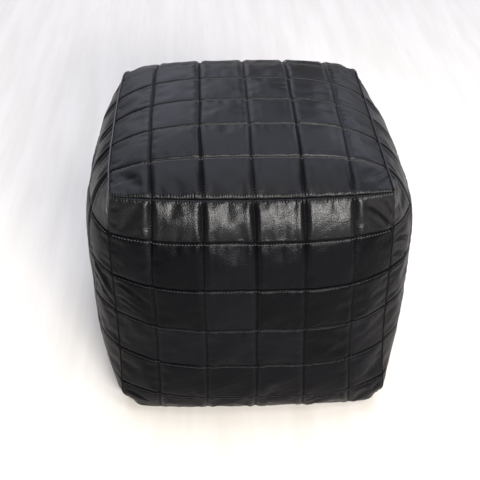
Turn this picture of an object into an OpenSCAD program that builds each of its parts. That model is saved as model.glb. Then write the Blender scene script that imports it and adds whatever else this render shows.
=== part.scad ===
// Square patchwork leather pouf: a stuffed cube cover with a zip across its underside.
// Origin: on the floor, under the middle of the pouf. X runs left to right, Y front to back, Z up.

/* [Cover size] */
// Distance between two opposite corner seams, measured at the corners
seam_width = 360; // [300:5:420]
// Height of the side panels, from the bottom seam to the top seam at a corner
seam_height = 360; // [300:5:420]
// Height of the bottom seam above the floor at a corner
floor_lift = 14; // [10:1:22]

/* [Stuffed shape] */
// How far a side edge bows out at its middle
edge_bow = 6; // [2:0.5:12]
// How far the edges of the top bow up at their middle
top_bow = 3; // [1:0.5:8]
// How far the middle of a panel stands out from its edges
face_crown = 33; // [15:1:45]
// How sharply a panel rolls over at its edges, where 2 is a plain dome
roll_power = 3.8; // [2.5:0.1:5]
// How soon the underside comes down to the floor
contact_gain = 2.6; // [2:0.1:4]

/* [Patchwork] */
// Patches along each side of a panel
patch_count = 6; // [4:1:8]
// How much the inner rows spread, because the outer rows roll over the edge
row_spread = 1.07; // [1:0.01:1.12]
// Thickness of the goat leather
leather = 1.2; // [0.8:0.1:2]
// How far the middle of a patch puffs out
puff = 3.5; // [1:0.5:6]
// Thickness of the wadding behind the seams
wadding = 4; // [3:0.5:8]
// Thickness of the cotton lining behind the wadding
lining = 0.6; // [0.4:0.1:1]
// Gap between two patches, where their seam is
patch_gap = 0.3; // [0.2:0.1:0.6]
// Width of the groove between two panels
edge_gap = 1.2; // [1.2:0.1:2]
// Thickness of the calico of the inner bag
calico = 0.8; // [0.5:0.1:1.5]
// Clearance between two layers
layer_gap = 0.1; // [0.1:0.05:0.3]
// Thickness of the sewing thread
thread = 0.6; // [0.4:0.1:0.8]

/* [Zip] */
// Length of the zip's opening in the underside
zip_length = 304; // [200:4:320]
// Width of the opening between the two hems
zip_slot = 14; // [14:0.5:20]
// Width of one tape, from the middle of the chain
tape_width = 16; // [14:1:20]
// Thickness of a tape
tape = 0.6; // [0.4:0.1:0.8]
// Distance from one tooth to the next on the same tape
tooth_pitch = 3.6; // [3:0.1:5]
// Thickness of the teeth, through the chain
tooth_depth = 2.4; // [2:0.1:3]
// Width of the chain of teeth
chain_width = 6.8; // [6:0.1:8]
// Length of the slider
slider_length = 17; // [14:1:20]
// Thickness of each of the slider's plates
plate = 1.3; // [1:0.1:1.6]
// Length of the pull tab, from its pin to its tip
pull_length = 34; // [24:1:40]
// Width of the pull tab
pull_width = 8; // [6:0.5:10]
// Thickness of the pull tab
pull = 1; // [0.8:0.1:1.2]

/* [Hidden] */

// Places on the cover
half_width = seam_width/2;
mid_z = floor_lift + seam_height/2;
last_line = 2*patch_count;
wadding_out = leather + layer_gap;
wadding_in = wadding_out + wadding;
lining_out = wadding_in + layer_gap;
lining_in = lining_out + lining;
bag_out = lining_in + layer_gap;
bag_in = bag_out + calico;
filling_out = bag_in + layer_gap;
bag_floor = leather + layer_gap;
filling_floor = bag_floor + calico + layer_gap;
patch_inset = patch_gap/2/half_width;
edge_inset = edge_gap/2/half_width;
thread_depth = edge_gap/2;
thread_end = 0.97;
thread_sides = 6;

// Places in the zip, from the floor up
floor_gap = 0.7;
small_gap = 0.1;
swing_gap = 0.3;
pin_radius = pull/2;
bridge = 1.2;
bridge_gap = pull + 2*swing_gap;
plate_gap = tooth_depth/2 + 0.2;
chain_z = floor_gap + bridge + bridge_gap + plate + plate_gap;
pin_z = chain_z - plate_gap - plate - bridge_gap/2;
hem_z = chain_z - tape/2 - small_gap - leather;
slider_top = chain_z + plate_gap + plate;
bag_lift = slider_top + 0.5 - bag_floor;
channel_flat = tape_width + 1;
channel_wide = 52;
channel_fade = 3;
channel_steps = 3;

// Places along the zip
slider_x = zip_length/2 - slider_length/2 - 6;
chain_end = slider_x + 1.5;
chain_start = -zip_length/2 + 8;
tape_over = 6;
stop_length = 3;
pin_x = slider_x - 2.2;
bridge_length = 9;
bridge_width = 2.4;
eye_length = 8.5;
flange_slot = tape/2 + swing_gap;
flange_inner = chain_width/2 + swing_gap;
flange = 0.9;
rear_half = flange_inner + flange;
front_half = rear_half + 1.6;
bead_y = 1.6;
wedge_half = bead_y - swing_gap;
tooth = tooth_pitch/2 - 0.5;
mesh_over = 0.8;
stitch_rows = [channel_flat - 6, channel_flat - 3];

leather_black = [0.05, 0.05, 0.06];
thread_black = [0.09, 0.09, 0.1];
wadding_white = [0.86, 0.85, 0.8];
lining_cotton = [0.75, 0.73, 0.68];
calico_cream = [0.82, 0.77, 0.66];
tape_black = [0.07, 0.07, 0.08];
zip_metal = [0.5, 0.5, 0.5];

// How far a panel has risen at s, from 0 at its edge to 1 at its middle
function swell(s) = 1 - pow(abs(s), roll_power);
function side_bulge(s, t) = edge_bow*(swell(s) + swell(t)) + face_crown*swell(s)*swell(t);
function top_bulge(s, t) = top_bow*(swell(s) + swell(t)) + face_crown*swell(s)*swell(t);
function bottom_bulge(s, t, drop) = drop*min(1, contact_gain*swell(s)*swell(t));

// A point of the unit cube's surface, on the stuffed cover. It lies depth under the leather, but only
// floor_depth above the floor where the underside lies flat.
function cover_point(p, depth, floor_depth) = [
    p.x*(half_width - depth + side_bulge(p.y, p.z)),
    p.y*(half_width - depth + side_bulge(p.x, p.z)),
    mid_z + p.z*(seam_height/2 - depth + (p.z > 0
        ? top_bulge(p.x, p.y)
        : bottom_bulge(p.x, p.y, floor_lift + depth - floor_depth))),
];

// Where line k lies on a panel: even lines are seams, odd lines are the middles of patches
function seam_line(i) = i == 0 ? -1 : i == patch_count ? 1 : (2*i/patch_count - 1)*row_spread;
function line(k) = k % 2 == 0 ? seam_line(k/2) : (seam_line((k - 1)/2) + seam_line((k + 1)/2))/2;

// A panel's own coordinates u and v on the unit cube, where u cross v points outwards
function on_panel(panel, u, v) =
    panel == "top" ? [u, v, 1] :
    panel == "bottom" ? [-u, v, -1] :
    panel == "front" ? [u, -1, v] :
    panel == "back" ? [-u, 1, v] :
    panel == "right" ? [1, u, v] : [-1, -u, v];

// The same by line numbers, so that two panels share the points of their common edge
function on_form(panel, i, j) =
    panel == "top" ? [line(i), line(j), 1] :
    panel == "bottom" ? [line(last_line - i), line(j), -1] :
    panel == "front" ? [line(i), -1, line(j)] :
    panel == "back" ? [line(last_line - i), 1, line(j)] :
    panel == "right" ? [1, line(i), line(j)] : [-1, line(last_line - i), line(j)];

// The two triangles between lines i, i + 1 and j, j + 1 of a grid with rows points to a line. Their
// common side runs from a patch's corner to its middle.
function outer_pair(first, i, j, rows) =
    let (a = first + i*rows + j, b = a + rows, c = b + 1, d = a + 1)
    (i + j) % 2 == 0 ? [[a, d, c], [a, c, b]] : [[a, d, b], [b, d, c]];
function turned(pair) = [for (t = pair) [t[2], t[1], t[0]]];

// A closed sheet between two grids of points, outer and inner, with cols by rows points each
module sheet(outer, inner, cols, rows) {
    n = cols*rows;
    polyhedron(
        points = concat(outer, inner),
        faces = concat(
            [for (i = [0:cols - 2], j = [0:rows - 2], t = outer_pair(0, i, j, rows)) t],
            [for (i = [0:cols - 2], j = [0:rows - 2], t = turned(outer_pair(n, i, j, rows))) t],
            [for (i = [0:cols - 2], t = rim(i*rows, (i + 1)*rows, n)) t],
            [for (i = [0:cols - 2], t = rim((i + 2)*rows - 1, (i + 1)*rows - 1, n)) t],
            [for (j = [0:rows - 2], t = rim(j + 1, j, n)) t],
            [for (j = [0:rows - 2], t = rim(n - rows + j, n - rows + j + 1, n)) t]
        )
    );
}
function rim(a, b, n) = [[a, b, b + n], [a, b + n, a + n]];

// How far the wadding puffs out a patch at line k: nothing at a seam
function puff_at(i, j) = i % 2 == 1 && j % 2 == 1 ? puff : 0;

// Line k of a panel, moved in from a seam by the gap that the seam needs
function inset_line(k, side) =
    line(k) - side*(k == 0 || k == last_line ? edge_inset : patch_inset);

// One patch of leather, in column i and row j of a panel
module patch(panel, i, j) {
    us = [inset_line(2*i, -1), line(2*i + 1), inset_line(2*i + 2, 1)];
    vs = [inset_line(2*j, -1), line(2*j + 1), inset_line(2*j + 2, 1)];
    function at(a, b, depth) =
        let (d = depth - puff_at(a, b))
        cover_point(on_panel(panel, us[a], vs[b]), d, d);
    sheet(
        [for (a = [0:2], b = [0:2]) at(a, b, 0)],
        [for (a = [0:2], b = [0:2]) at(a, b, leather)],
        3, 3
    );
}

// All the patches of one panel, which are sewn edge to edge
module patches(panel) {
    color(leather_black)
        for (i = [0:patch_count - 1], j = [0:patch_count - 1]) patch(panel, i, j);
}

// Line k of a sheet that covers a whole panel, whose ends stop short of the edge seams
function sheet_line(k) = k == 0 || k == last_line ? inset_line(k, k == 0 ? -1 : 1) : line(k);

// A sheet behind one panel's patches, between two depths. Its outer side follows the puffed patches
// by the share puffed.
module panel_sheet(panel, outer, inner, puffed) {
    lines = [0:last_line];
    function at(a, b, depth) = cover_point(on_panel(panel, sheet_line(a), sheet_line(b)), depth, depth);
    sheet(
        [for (a = lines, b = lines) at(a, b, outer - puffed*puff_at(a, b))],
        [for (a = lines, b = lines) at(a, b, inner)],
        last_line + 1, last_line + 1
    );
}

module wadding_sheet(panel) {
    color(wadding_white) panel_sheet(panel, wadding_out, wadding_in, 1);
}

module lining_sheet(panel) {
    color(lining_cotton) panel_sheet(panel, lining_out, lining_in, 0);
}

// The raised channel that the zip lies in, as a share of its height, at y from the middle
function channel(y) =
    let (t = min(1, max(0, (channel_wide - abs(y))/(channel_wide - channel_flat))))
    t*t*(3 - 2*t);

// The plain leather of the underside, in front of the zip, with its edge cut back to the hem
module bottom_leather_half() {
    slope = [for (t = [0:channel_steps]) channel_wide + (channel_flat - channel_wide)*t/channel_steps];
    rows = concat(
        [for (k = [last_line:-1:patch_count + 1]) if (line(k)*half_width > slope[0] + 1) sheet_line(k)],
        [for (y = slope) y/half_width],
        [patch_inset]
    );
    last_row = len(rows) - 1;
    function at(a, b, depth) =
        let (u = sheet_line(a), p = cover_point([-u, -rows[b], -1], depth, depth))
        p + [0, 0, hem_z*channel(p.y)*min(1, channel_fade*swell(u))];
    difference() {
        sheet(
            [for (a = [0:last_line], b = [0:last_row]) at(a, b, 0)],
            [for (a = [0:last_line], b = [0:last_row]) at(a, b, leather)],
            last_line + 1, last_row + 1
        );
        translate([-zip_length/2, -zip_slot/2, -1]) cube([zip_length, zip_slot, slider_top + 2]);
    }
}

module bottom_leather_front() {
    color(leather_black) bottom_leather_half();
}

module bottom_leather_back() {
    color(leather_black) mirror([0, 1, 0]) bottom_leather_half();
}

// A closed form of the cover's own shape, depth under its sides and floor_depth above its underside
module cover_form(depth, floor_depth) {
    rows = last_line + 1;
    panels = ["top", "bottom", "front", "back", "left", "right"];
    polyhedron(
        points = [for (panel = panels, i = [0:last_line], j = [0:last_line])
            cover_point(on_form(panel, i, j), depth, floor_depth)],
        faces = [for (n = [0:5], i = [0:last_line - 1], j = [0:last_line - 1],
            t = outer_pair(n*rows*rows, i, j, rows)) t]
    );
}

// The room that the zip needs under the inner bag, extra above its tapes and slider
module zip_room(extra) {
    top = bag_floor + bag_lift + extra;
    reach = seam_width;
    rotate([90, 0, 90])
        linear_extrude(height = 2*reach, center = true)
            polygon([[-channel_wide - extra, -1], [channel_wide + extra, -1],
                [channel_wide + extra, bag_floor + extra], [channel_flat + extra, top],
                [-channel_flat - extra, top], [-channel_wide - extra, bag_floor + extra]]);
}

module inner_bag() {
    color(calico_cream)
        difference() {
            cover_form(bag_out, bag_floor);
            zip_room(0);
            difference() {
                cover_form(bag_in, bag_floor + calico);
                zip_room(calico);
            }
        }
}

module stuffing() {
    color(wadding_white)
        difference() {
            cover_form(filling_out, filling_floor);
            zip_room(calico + layer_gap);
        }
}

// Thread along the edge seam that runs along one axis, at s and t on the other two
module seam_thread(axis, s, t) {
    ring = [for (n = [0:thread_sides - 1])
        thread/2*[cos(360*n/thread_sides), sin(360*n/thread_sides)]];
    function place(w) = axis == 0 ? [w, s, t] : axis == 1 ? [t, w, s] : [s, t, w];
    function around(c) = axis == 0 ? [0, c.x, c.y] : axis == 1 ? [c.y, 0, c.x] : [c.x, c.y, 0];
    ends = last_line;
    function reach(k) = k == 0 ? -thread_end : k == ends ? thread_end : line(k);
    m = thread_sides;
    polyhedron(
        points = [for (k = [0:ends], c = ring)
            cover_point(place(reach(k)), thread_depth, thread_depth) + around(c)],
        faces = concat(
            [[for (n = [0:m - 1]) n]],
            [[for (n = [m - 1:-1:0]) ends*m + n]],
            [for (k = [0:ends - 1], n = [0:m - 1])
                [k*m + n, (k + 1)*m + n, (k + 1)*m + (n + 1) % m]],
            [for (k = [0:ends - 1], n = [0:m - 1])
                [k*m + n, (k + 1)*m + (n + 1) % m, k*m + (n + 1) % m]]
        )
    );
}

// The four threads round the top, with level 1, or round the bottom, with level -1
module edge_thread(level) {
    color(thread_black)
        for (side = [-1, 1]) {
            seam_thread(0, side, level);
            seam_thread(1, level, side);
        }
}

module corner_thread() {
    color(thread_black)
        for (x = [-1, 1], y = [-1, 1]) seam_thread(2, x, y);
}

// The woven tape that carries the teeth of one side
module zip_tape(side) {
    color(tape_black)
        translate([-zip_length/2 - tape_over, side > 0 ? bead_y : -tape_width, chain_z - tape/2])
            cube([zip_length + 2*tape_over, tape_width - bead_y, tape]);
}

// One tooth, clamped on the tape's edge, with a head that crosses the middle of the chain
module zip_tooth() {
    head = mesh_over + bead_y - small_gap;
    grip = chain_width/2 - bead_y + 2*small_gap;
    jaw = tooth_depth/2 - tape/2 - small_gap;
    translate([-tooth/2, -mesh_over, -tooth_depth/2]) cube([tooth, head, tooth_depth]);
    for (z = [-tooth_depth/2, tooth_depth/2 - jaw])
        translate([-tooth/2, bead_y - 2*small_gap, z]) cube([tooth, grip, jaw]);
}

// The teeth of one side, in mesh with those of the other
module zip_teeth(side) {
    start = chain_start + (side > 0 ? tooth_pitch/2 : 0);
    count = floor((chain_end - start - tooth/2)/tooth_pitch);
    color(zip_metal)
        for (k = [0:count])
            translate([start + k*tooth_pitch, 0, chain_z])
                mirror([0, side > 0 ? 0 : 1, 0]) zip_tooth();
}

// The clamp on each tape that stops the slider when the zip is closed
module zip_top_stops() {
    x = slider_x + slider_length/2 + 1;
    reach = chain_width/2 - 1;
    color(zip_metal)
        for (side = [-1, 1])
            difference() {
                translate([x, side > 0 ? 1 : -1 - reach, chain_z - tooth_depth/2])
                    cube([stop_length, reach, tooth_depth]);
                translate([x - 1, side > 0 ? bead_y - small_gap : -tape_width, chain_z - tape/2 - small_gap])
                    cube([stop_length + 2, tape_width - bead_y + small_gap, tape + 2*small_gap]);
            }
}

// The clamp across both tapes, where the zip is open
module zip_bottom_stop() {
    x = chain_start - tooth - stop_length;
    color(zip_metal)
        difference() {
            translate([x, -chain_width/2, chain_z - tooth_depth/2])
                cube([stop_length, chain_width, tooth_depth]);
            for (side = [-1, 1])
                translate([x - 1, side > 0 ? bead_y - small_gap : -tape_width, chain_z - tape/2 - small_gap])
                    cube([stop_length + 2, tape_width - bead_y + small_gap, tape + 2*small_gap]);
        }
}

// The two rows of stitches along each hem
module zip_stitching() {
    color(thread_black)
        for (side = [-1, 1], y = stitch_rows)
            translate([-zip_length/2, side*y, hem_z - thread/2 - small_gap/2])
                rotate([0, 90, 0]) cylinder(h = zip_length, d = thread, $fn = 24);
}

// The outline of the slider's plates: narrow behind, where the chain leaves, and wide in front
module slider_outline() {
    back = -slider_length/2;
    front = slider_length/2;
    polygon([[back, -rear_half + 1], [back + 1, -rear_half], [-1, -rear_half], [3.5, -front_half],
        [front - 1.5, -front_half], [front, -front_half + 1.5], [front, front_half - 1.5],
        [front - 1.5, front_half], [3.5, front_half], [-1, rear_half], [back + 1, rear_half],
        [back, rear_half - 1]]);
}

// The slider: two plates on a wedge, with flanges beside the teeth and a bridge for the pull
module zip_slider() {
    back = -slider_length/2;
    front = slider_length/2;
    under = plate_gap + plate;
    bar_x = pin_x - slider_x - 2.2;
    color(zip_metal)
        translate([slider_x, 0, chain_z]) {
            for (z = [plate_gap, -under])
                translate([0, 0, z]) linear_extrude(height = plate) slider_outline();
            translate([0, 0, -under])
                linear_extrude(height = 2*under)
                    polygon([[2.5, 0], [4.5, -wedge_half], [front - 0.5, -wedge_half],
                        [front - 0.5, wedge_half], [4.5, wedge_half]]);
            for (side = [-1, 1], z = [flange_slot, -under])
                translate([back + 1, side > 0 ? flange_inner : -rear_half, z])
                    cube([slider_length/2 - 2, flange, under - flange_slot]);
            translate([bar_x, -bridge_width/2, -under - bridge_gap - bridge])
                cube([bridge_length, bridge_width, bridge]);
            for (x = [bar_x, bar_x + bridge_length - bridge])
                translate([x, -bridge_width/2, -under - bridge_gap - bridge])
                    cube([bridge, bridge_width, bridge_gap + bridge + small_gap]);
        }
}

// The pull tab: a pin under the bridge, two arms beside it and a flat grip
module zip_pull() {
    arm = (pull_width - bridge_width - 1.4)/2;
    tip = pull_width/2;
    color(zip_metal)
        translate([pin_x, 0, pin_z]) {
            rotate([90, 0, 0])
                cylinder(h = pull_width, r = pin_radius, center = true, $fn = 24);
            for (side = [-1, 1])
                translate([-eye_length - 1, side > 0 ? pull_width/2 - arm : -pull_width/2, -pull/2])
                    cube([eye_length + 1, arm, pull]);
            difference() {
                translate([0, 0, -pull/2])
                    linear_extrude(height = pull)
                        union() {
                            translate([-pull_length + tip, -pull_width/2])
                                square([pull_length - tip - eye_length, pull_width]);
                            translate([-pull_length + tip, 0]) circle(r = tip, $fn = 48);
                        }
                translate([-pull_length + tip, 0, -pull])
                    cylinder(h = 2*pull, r = tip/2.5, $fn = 32);
            }
        }
}

patches("top");  // top_patches
patches("front");  // front_patches
patches("back");  // back_patches
patches("left");  // left_patches
patches("right");  // right_patches
wadding_sheet("top");  // top_wadding
wadding_sheet("front");  // front_wadding
wadding_sheet("back");  // back_wadding
wadding_sheet("left");  // left_wadding
wadding_sheet("right");  // right_wadding
lining_sheet("top");  // top_lining
lining_sheet("front");  // front_lining
lining_sheet("back");  // back_lining
lining_sheet("left");  // left_lining
lining_sheet("right");  // right_lining
bottom_leather_front();
bottom_leather_back();
edge_thread(1);  // top_edge_thread
corner_thread();
edge_thread(-1);  // bottom_edge_thread
inner_bag();
stuffing();
zip_tape(-1);  // zip_tape_front
zip_tape(1);  // zip_tape_back
zip_teeth(-1);  // zip_teeth_front
zip_teeth(1);  // zip_teeth_back
zip_top_stops();
zip_bottom_stop();
zip_stitching();
zip_slider();
zip_pull();
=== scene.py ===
"""A square floor pouf of quilted black leather patchwork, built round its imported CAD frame.

The cover is a stuffed cube. Five of its panels are quilts of six by six leather patches, whose seams
are held down while the wadding puffs the patches out. The sixth is its plain underside, with a zip.
Every length is in metres, in the frame's own axes: Z up, X to the right, the front towards -Y.
"""

import sys
import logging
import math
from dataclasses import dataclass, field
from enum import Enum
from typing import Sequence

import bmesh
import bpy
import numpy as np
from mathutils import Matrix, Vector


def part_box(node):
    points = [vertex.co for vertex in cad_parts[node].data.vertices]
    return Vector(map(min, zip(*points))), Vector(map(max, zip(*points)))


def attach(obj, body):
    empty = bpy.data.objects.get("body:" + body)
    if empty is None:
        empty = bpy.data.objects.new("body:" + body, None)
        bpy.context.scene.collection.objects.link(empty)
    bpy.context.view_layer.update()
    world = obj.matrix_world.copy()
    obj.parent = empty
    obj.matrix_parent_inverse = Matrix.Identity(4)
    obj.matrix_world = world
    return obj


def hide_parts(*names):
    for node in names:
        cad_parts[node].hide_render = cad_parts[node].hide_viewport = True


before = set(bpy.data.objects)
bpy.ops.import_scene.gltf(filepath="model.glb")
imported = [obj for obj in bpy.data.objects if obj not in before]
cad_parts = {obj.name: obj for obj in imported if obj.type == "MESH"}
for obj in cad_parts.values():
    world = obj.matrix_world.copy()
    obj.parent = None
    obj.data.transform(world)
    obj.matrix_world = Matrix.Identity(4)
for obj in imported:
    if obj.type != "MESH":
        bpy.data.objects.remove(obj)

LOG = logging.getLogger("pouf")
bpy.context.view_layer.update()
COVER = "cover"
MM = 0.001
PANEL_UNIT = 0.2
SEAM_INSET = 5.4 * MM
Array = np.ndarray
Colour = tuple[float, float, float, float]


# ---------------------------------------------------------------- shader expressions


class Value:
    """A value socket, on which Python's operators add Math nodes."""

    def __init__(self, tree: "Shade", socket: bpy.types.NodeSocket) -> None:
        """Wrap one output socket of a shader."""
        self.tree = tree
        self.socket = socket

    def _math(self, operation: str, *inputs: "Value | float") -> "Value":
        """Add a Math node with these inputs and return its result."""
        return self.tree.node("ShaderNodeMath", {"operation": operation}, *inputs)

    def __add__(self, other: "Value | float") -> "Value":
        """Return self + other."""
        return self._math("ADD", self, other)

    def __radd__(self, other: float) -> "Value":
        """Return other + self."""
        return self._math("ADD", other, self)

    def __sub__(self, other: "Value | float") -> "Value":
        """Return self - other."""
        return self._math("SUBTRACT", self, other)

    def __rsub__(self, other: float) -> "Value":
        """Return other - self."""
        return self._math("SUBTRACT", other, self)

    def __mul__(self, other: "Value | float") -> "Value":
        """Return self * other."""
        return self._math("MULTIPLY", self, other)

    def __rmul__(self, other: float) -> "Value":
        """Return other * self."""
        return self._math("MULTIPLY", other, self)

    def sine(self) -> "Value":
        """Return the sine."""
        return self._math("SINE", self)

    def ramp(self, low: float, high: float) -> "Value":
        """Return 0 at low and below, 1 at high and above, and a smooth step between."""
        settings = {"interpolation_type": "SMOOTHSTEP"}
        return self.tree.node("ShaderNodeMapRange", settings, self, low, high, 0.0, 1.0)


class Shade:
    """A material's node tree, with one method that adds any node."""

    def __init__(self, name: str) -> None:
        """Start a material.

        Args:
            name: The material's name.
        """
        self.material = bpy.data.materials.new(name)
        self.material.use_nodes = True
        self.tree = self.material.node_tree
        self.tree.nodes.clear()

    def node(self, kind: str, settings: dict, *inputs: object, out: int | str = 0,
             **named: object) -> Value | None:
        """Add a node, set it up and link it.

        Args:
            kind: The node's type.
            settings: Its properties, set before its sockets.
            inputs: Values or links for its first sockets, in order. None leaves one alone.
            out: The output to return.
            named: Values or links for sockets by name, with _ for each space.

        Returns:
            The chosen output, or None where the node has none.
        """
        made = self.tree.nodes.new(kind)
        for key, value in settings.items():
            setattr(made, key, value)
        for socket, value in zip([s for s in made.inputs if s.enabled], inputs):
            self._feed(socket, value)
        for key, value in named.items():
            self._feed(made.inputs[key.replace("_", " ")], value)
        outputs = made.outputs if isinstance(out, str) else [s for s in made.outputs if s.enabled]
        return Value(self, outputs[out]) if outputs else None

    def _feed(self, socket: bpy.types.NodeSocket, value: object) -> None:
        """Link a socket to a value, or set it.

        Args:
            socket: The input to feed.
            value: A wrapped output to link, a plain value to set, or None to leave the socket alone.
        """
        if isinstance(value, Value):
            self.tree.links.new(value.socket, socket)
        elif value is not None:
            socket.default_value = value

    def place(self) -> Value:
        """Return the point being shaded, in the frame's axes."""
        return self.node("ShaderNodeTexCoord", {}, out="Object")

    def stretched(self, place: Value, scale: tuple[float, float, float]) -> Value:
        """Return a place with each axis scaled."""
        return self.node("ShaderNodeVectorMath", {"operation": "MULTIPLY"}, place, scale)

    def noise(self, place: Value, scale: float, detail: float = 3.0, rough: float = 0.5) -> Value:
        """Return smooth noise from 0 to 1, scale cells to the metre."""
        return self.node("ShaderNodeTexNoise", {}, Vector=place, Scale=scale, Detail=detail,
                         Roughness=rough)

    def drift(self, place: Value, scale: float, reach: float) -> Value:
        """Return a place moved at random by up to half of reach, scale turns to the metre."""
        way = self.node("ShaderNodeTexNoise", {}, out="Color", Vector=place, Scale=scale, Detail=1.0)
        return self.node("ShaderNodeVectorMath", {"operation": "MULTIPLY_ADD"}, way, (reach,) * 3, place)

    def cells(self, place: Value, scale: float, feature: str) -> Value:
        """Return a distance field of scattered cells, scale cells to the metre."""
        return self.node("ShaderNodeTexVoronoi", {"feature": feature}, Vector=place, Scale=scale)

    def attribute(self, name: str) -> Value:
        """Return a number stored on the mesh."""
        return self.node("ShaderNodeAttribute", {"attribute_name": name}, out="Fac")

    def mix(self, share: Value | float, a: object, b: object) -> Value:
        """Return the colour a mixed with b, where share, from 0 to 1, is how much of b."""
        return self.node("ShaderNodeMix", {"data_type": "RGBA"}, share, a, b)

    def bump(self, height: Value, depth: float, strength: float = 1.0, under: Value | None = None) -> Value:
        """Return the normal that a height of 0 to 1 gives, depth metres deep, over the normal under."""
        return self.node("ShaderNodeBump", {}, Height=height, Distance=depth, Strength=strength,
                         Normal=under)

    def surface(self, uniform: dict, **varying: object) -> Value:
        """Return a Principled surface, from plain values by socket name and links with _ for spaces."""
        return self.node("ShaderNodeBsdfPrincipled", {}, **uniform, **varying)

    def finish(self, surface: Value) -> bpy.types.Material:
        """Close the tree with a surface and return the material."""
        self.node("ShaderNodeOutputMaterial", {}, surface)
        return self.material


# ---------------------------------------------------------------- finishes


def rgb(red: float, green: float, blue: float) -> Colour:
    """Return a colour with full alpha."""
    return (red, green, blue, 1.0)


@dataclass(frozen=True)
class GoatLeather:
    """Black goat leather: pebbled, satin, polished where it rubs."""

    name: str = "black_goat_leather"
    # Near-black with a slight blue cast, which is partly a painted reflection of the bluish window light.
    deep: Colour = rgb(0.0014, 0.0014, 0.0020)
    # The lighter end of the leather's colour, reached by each patch's tone and mottling and by the painted
    # highlight on the rolled shoulders.
    lighter: Colour = rgb(0.0044, 0.0042, 0.0056)
    satin: float = 0.36
    gloss: float = 0.050
    polish: float = 0.22
    pebbles: float = 600.0
    pebble_depth: float = 0.00040
    pucker_pitch: float = 0.0034
    pucker_depth: float = 0.00045

    def make(self) -> bpy.types.Material:
        """Return the material.

        It reads these numbers off the mesh: tone, each patch's own shade; seam, 1 in a seam and 0 away from
        it, where the colour is darkened as painted shade; shoulder, 1 on the rolled edge beside a seam,
        where the colour is lightened as a painted highlight; run, metres along the nearest pucker seam;
        gather, how strongly the seam gathers the leather there; and the polish, 1 where use has polished
        it.

        Returns:
            The material, a dull and a polished leather mixed by the polish number.
        """
        s = Shade(self.name)
        place = s.place()
        tone, seam = s.attribute("tone"), s.attribute("seam")
        shoulder, run, gather = s.attribute("shoulder"), s.attribute("run"), s.attribute("gather")
        cloudy = s.noise(place, 9.0, 4.0, 0.55)
        mottle = s.noise(place, 55.0, 4.0, 0.6)
        fine = s.noise(place, 2600.0, 2.0, 0.6)
        bent = s.drift(place, 240.0, 0.0016)
        pebble = s.cells(bent, self.pebbles, "SMOOTH_F1")
        crackle = s.cells(bent, self.pebbles * 0.55, "DISTANCE_TO_EDGE").ramp(0.0, 0.22)
        # Each patch's tone and random clouding and mottling, plus a painted highlight on the rolled
        # shoulders beside the seams and painted shade that darkens the seams.
        light = (tone * 0.55 + cloudy * 0.5 + mottle * 0.35 - 0.45) + shoulder * 0.22 - seam * 0.55
        colour = s.mix(light.ramp(-0.1, 0.95), self.deep, self.lighter)
        satin = self.satin + (cloudy - 0.5) * 0.14 + (mottle - 0.5) * 0.12 + seam * 0.16 - shoulder * 0.05
        puckers = ((run * (2 * math.pi / self.pucker_pitch) + mottle * 9.0).sine() * 0.5 + 0.5) * gather
        grain = (1.0 - pebble) * 0.58 + crackle * 0.10 + mottle * 0.14 + fine * 0.18
        gathered = s.bump(puckers, self.pucker_depth, 0.9, s.bump(grain, self.pebble_depth))
        varying = {"Base Color": colour, "Roughness": satin, "Normal": gathered}
        dull = s.surface({"Specular IOR Level": self.gloss}, **varying)
        bright = s.surface({"Specular IOR Level": self.polish}, **varying)
        polish_and_highlight = s.attribute("polish_and_highlight") * (0.85 + mottle * 0.3)
        return s.finish(s.node("ShaderNodeMixShader", {}, polish_and_highlight, dull, bright))


@dataclass(frozen=True)
class WaxedThread:
    """Waxed polyester thread, twisted from three plies, painted a lighter grey towards the top of the cover
    as a highlight.
    """

    name: str = "waxed_thread"
    waxed: Colour = rgb(0.010, 0.0095, 0.010)
    # The lighter grey of the thread's painted highlight.
    polish_and_highlight: Colour = rgb(0.086, 0.086, 0.091)

    def make(self) -> bpy.types.Material:
        """Make the material, which reads off the mesh how much painted highlight lightens each stitch.

        Returns:
            The material.
        """
        s = Shade(self.name)
        strand = s.noise(s.place(), 1900.0, 2.0, 0.5)
        # The thread is painted a lighter grey towards the top of the cover: painted highlight.
        colour = s.mix(s.attribute("polish_and_highlight") * (strand * 0.8 + 0.4), self.waxed, self.polish_and_highlight)
        return s.finish(s.surface({}, Base_Color=colour, Roughness=strand * 0.25 + 0.42,
                                  Normal=s.bump(strand, 0.0002, 0.7)))


@dataclass(frozen=True)
class Fibre:
    """Loose or felted fibre: wadding, cotton waste."""

    name: str
    colour: Colour
    shade: Colour
    tuft: float = 260.0

    def make(self) -> bpy.types.Material:
        """Make the material.

        Returns:
            The material.
        """
        s = Shade(self.name)
        place = s.place()
        tufts = s.noise(place, self.tuft, 6.0, 0.7)
        hairs = s.noise(s.stretched(place, (1.0, 0.3, 2.0)), self.tuft * 5.0, 3.0, 0.6)
        colour = s.mix(tufts.ramp(0.3, 0.7), self.shade, self.colour)
        height = tufts * 0.7 + hairs * 0.3
        return s.finish(s.surface({"Sheen Weight": 0.4}, Base_Color=colour, Roughness=hairs * 0.1 + 0.88,
                                  Normal=s.bump(height, 0.0012, 0.8)))


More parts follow.
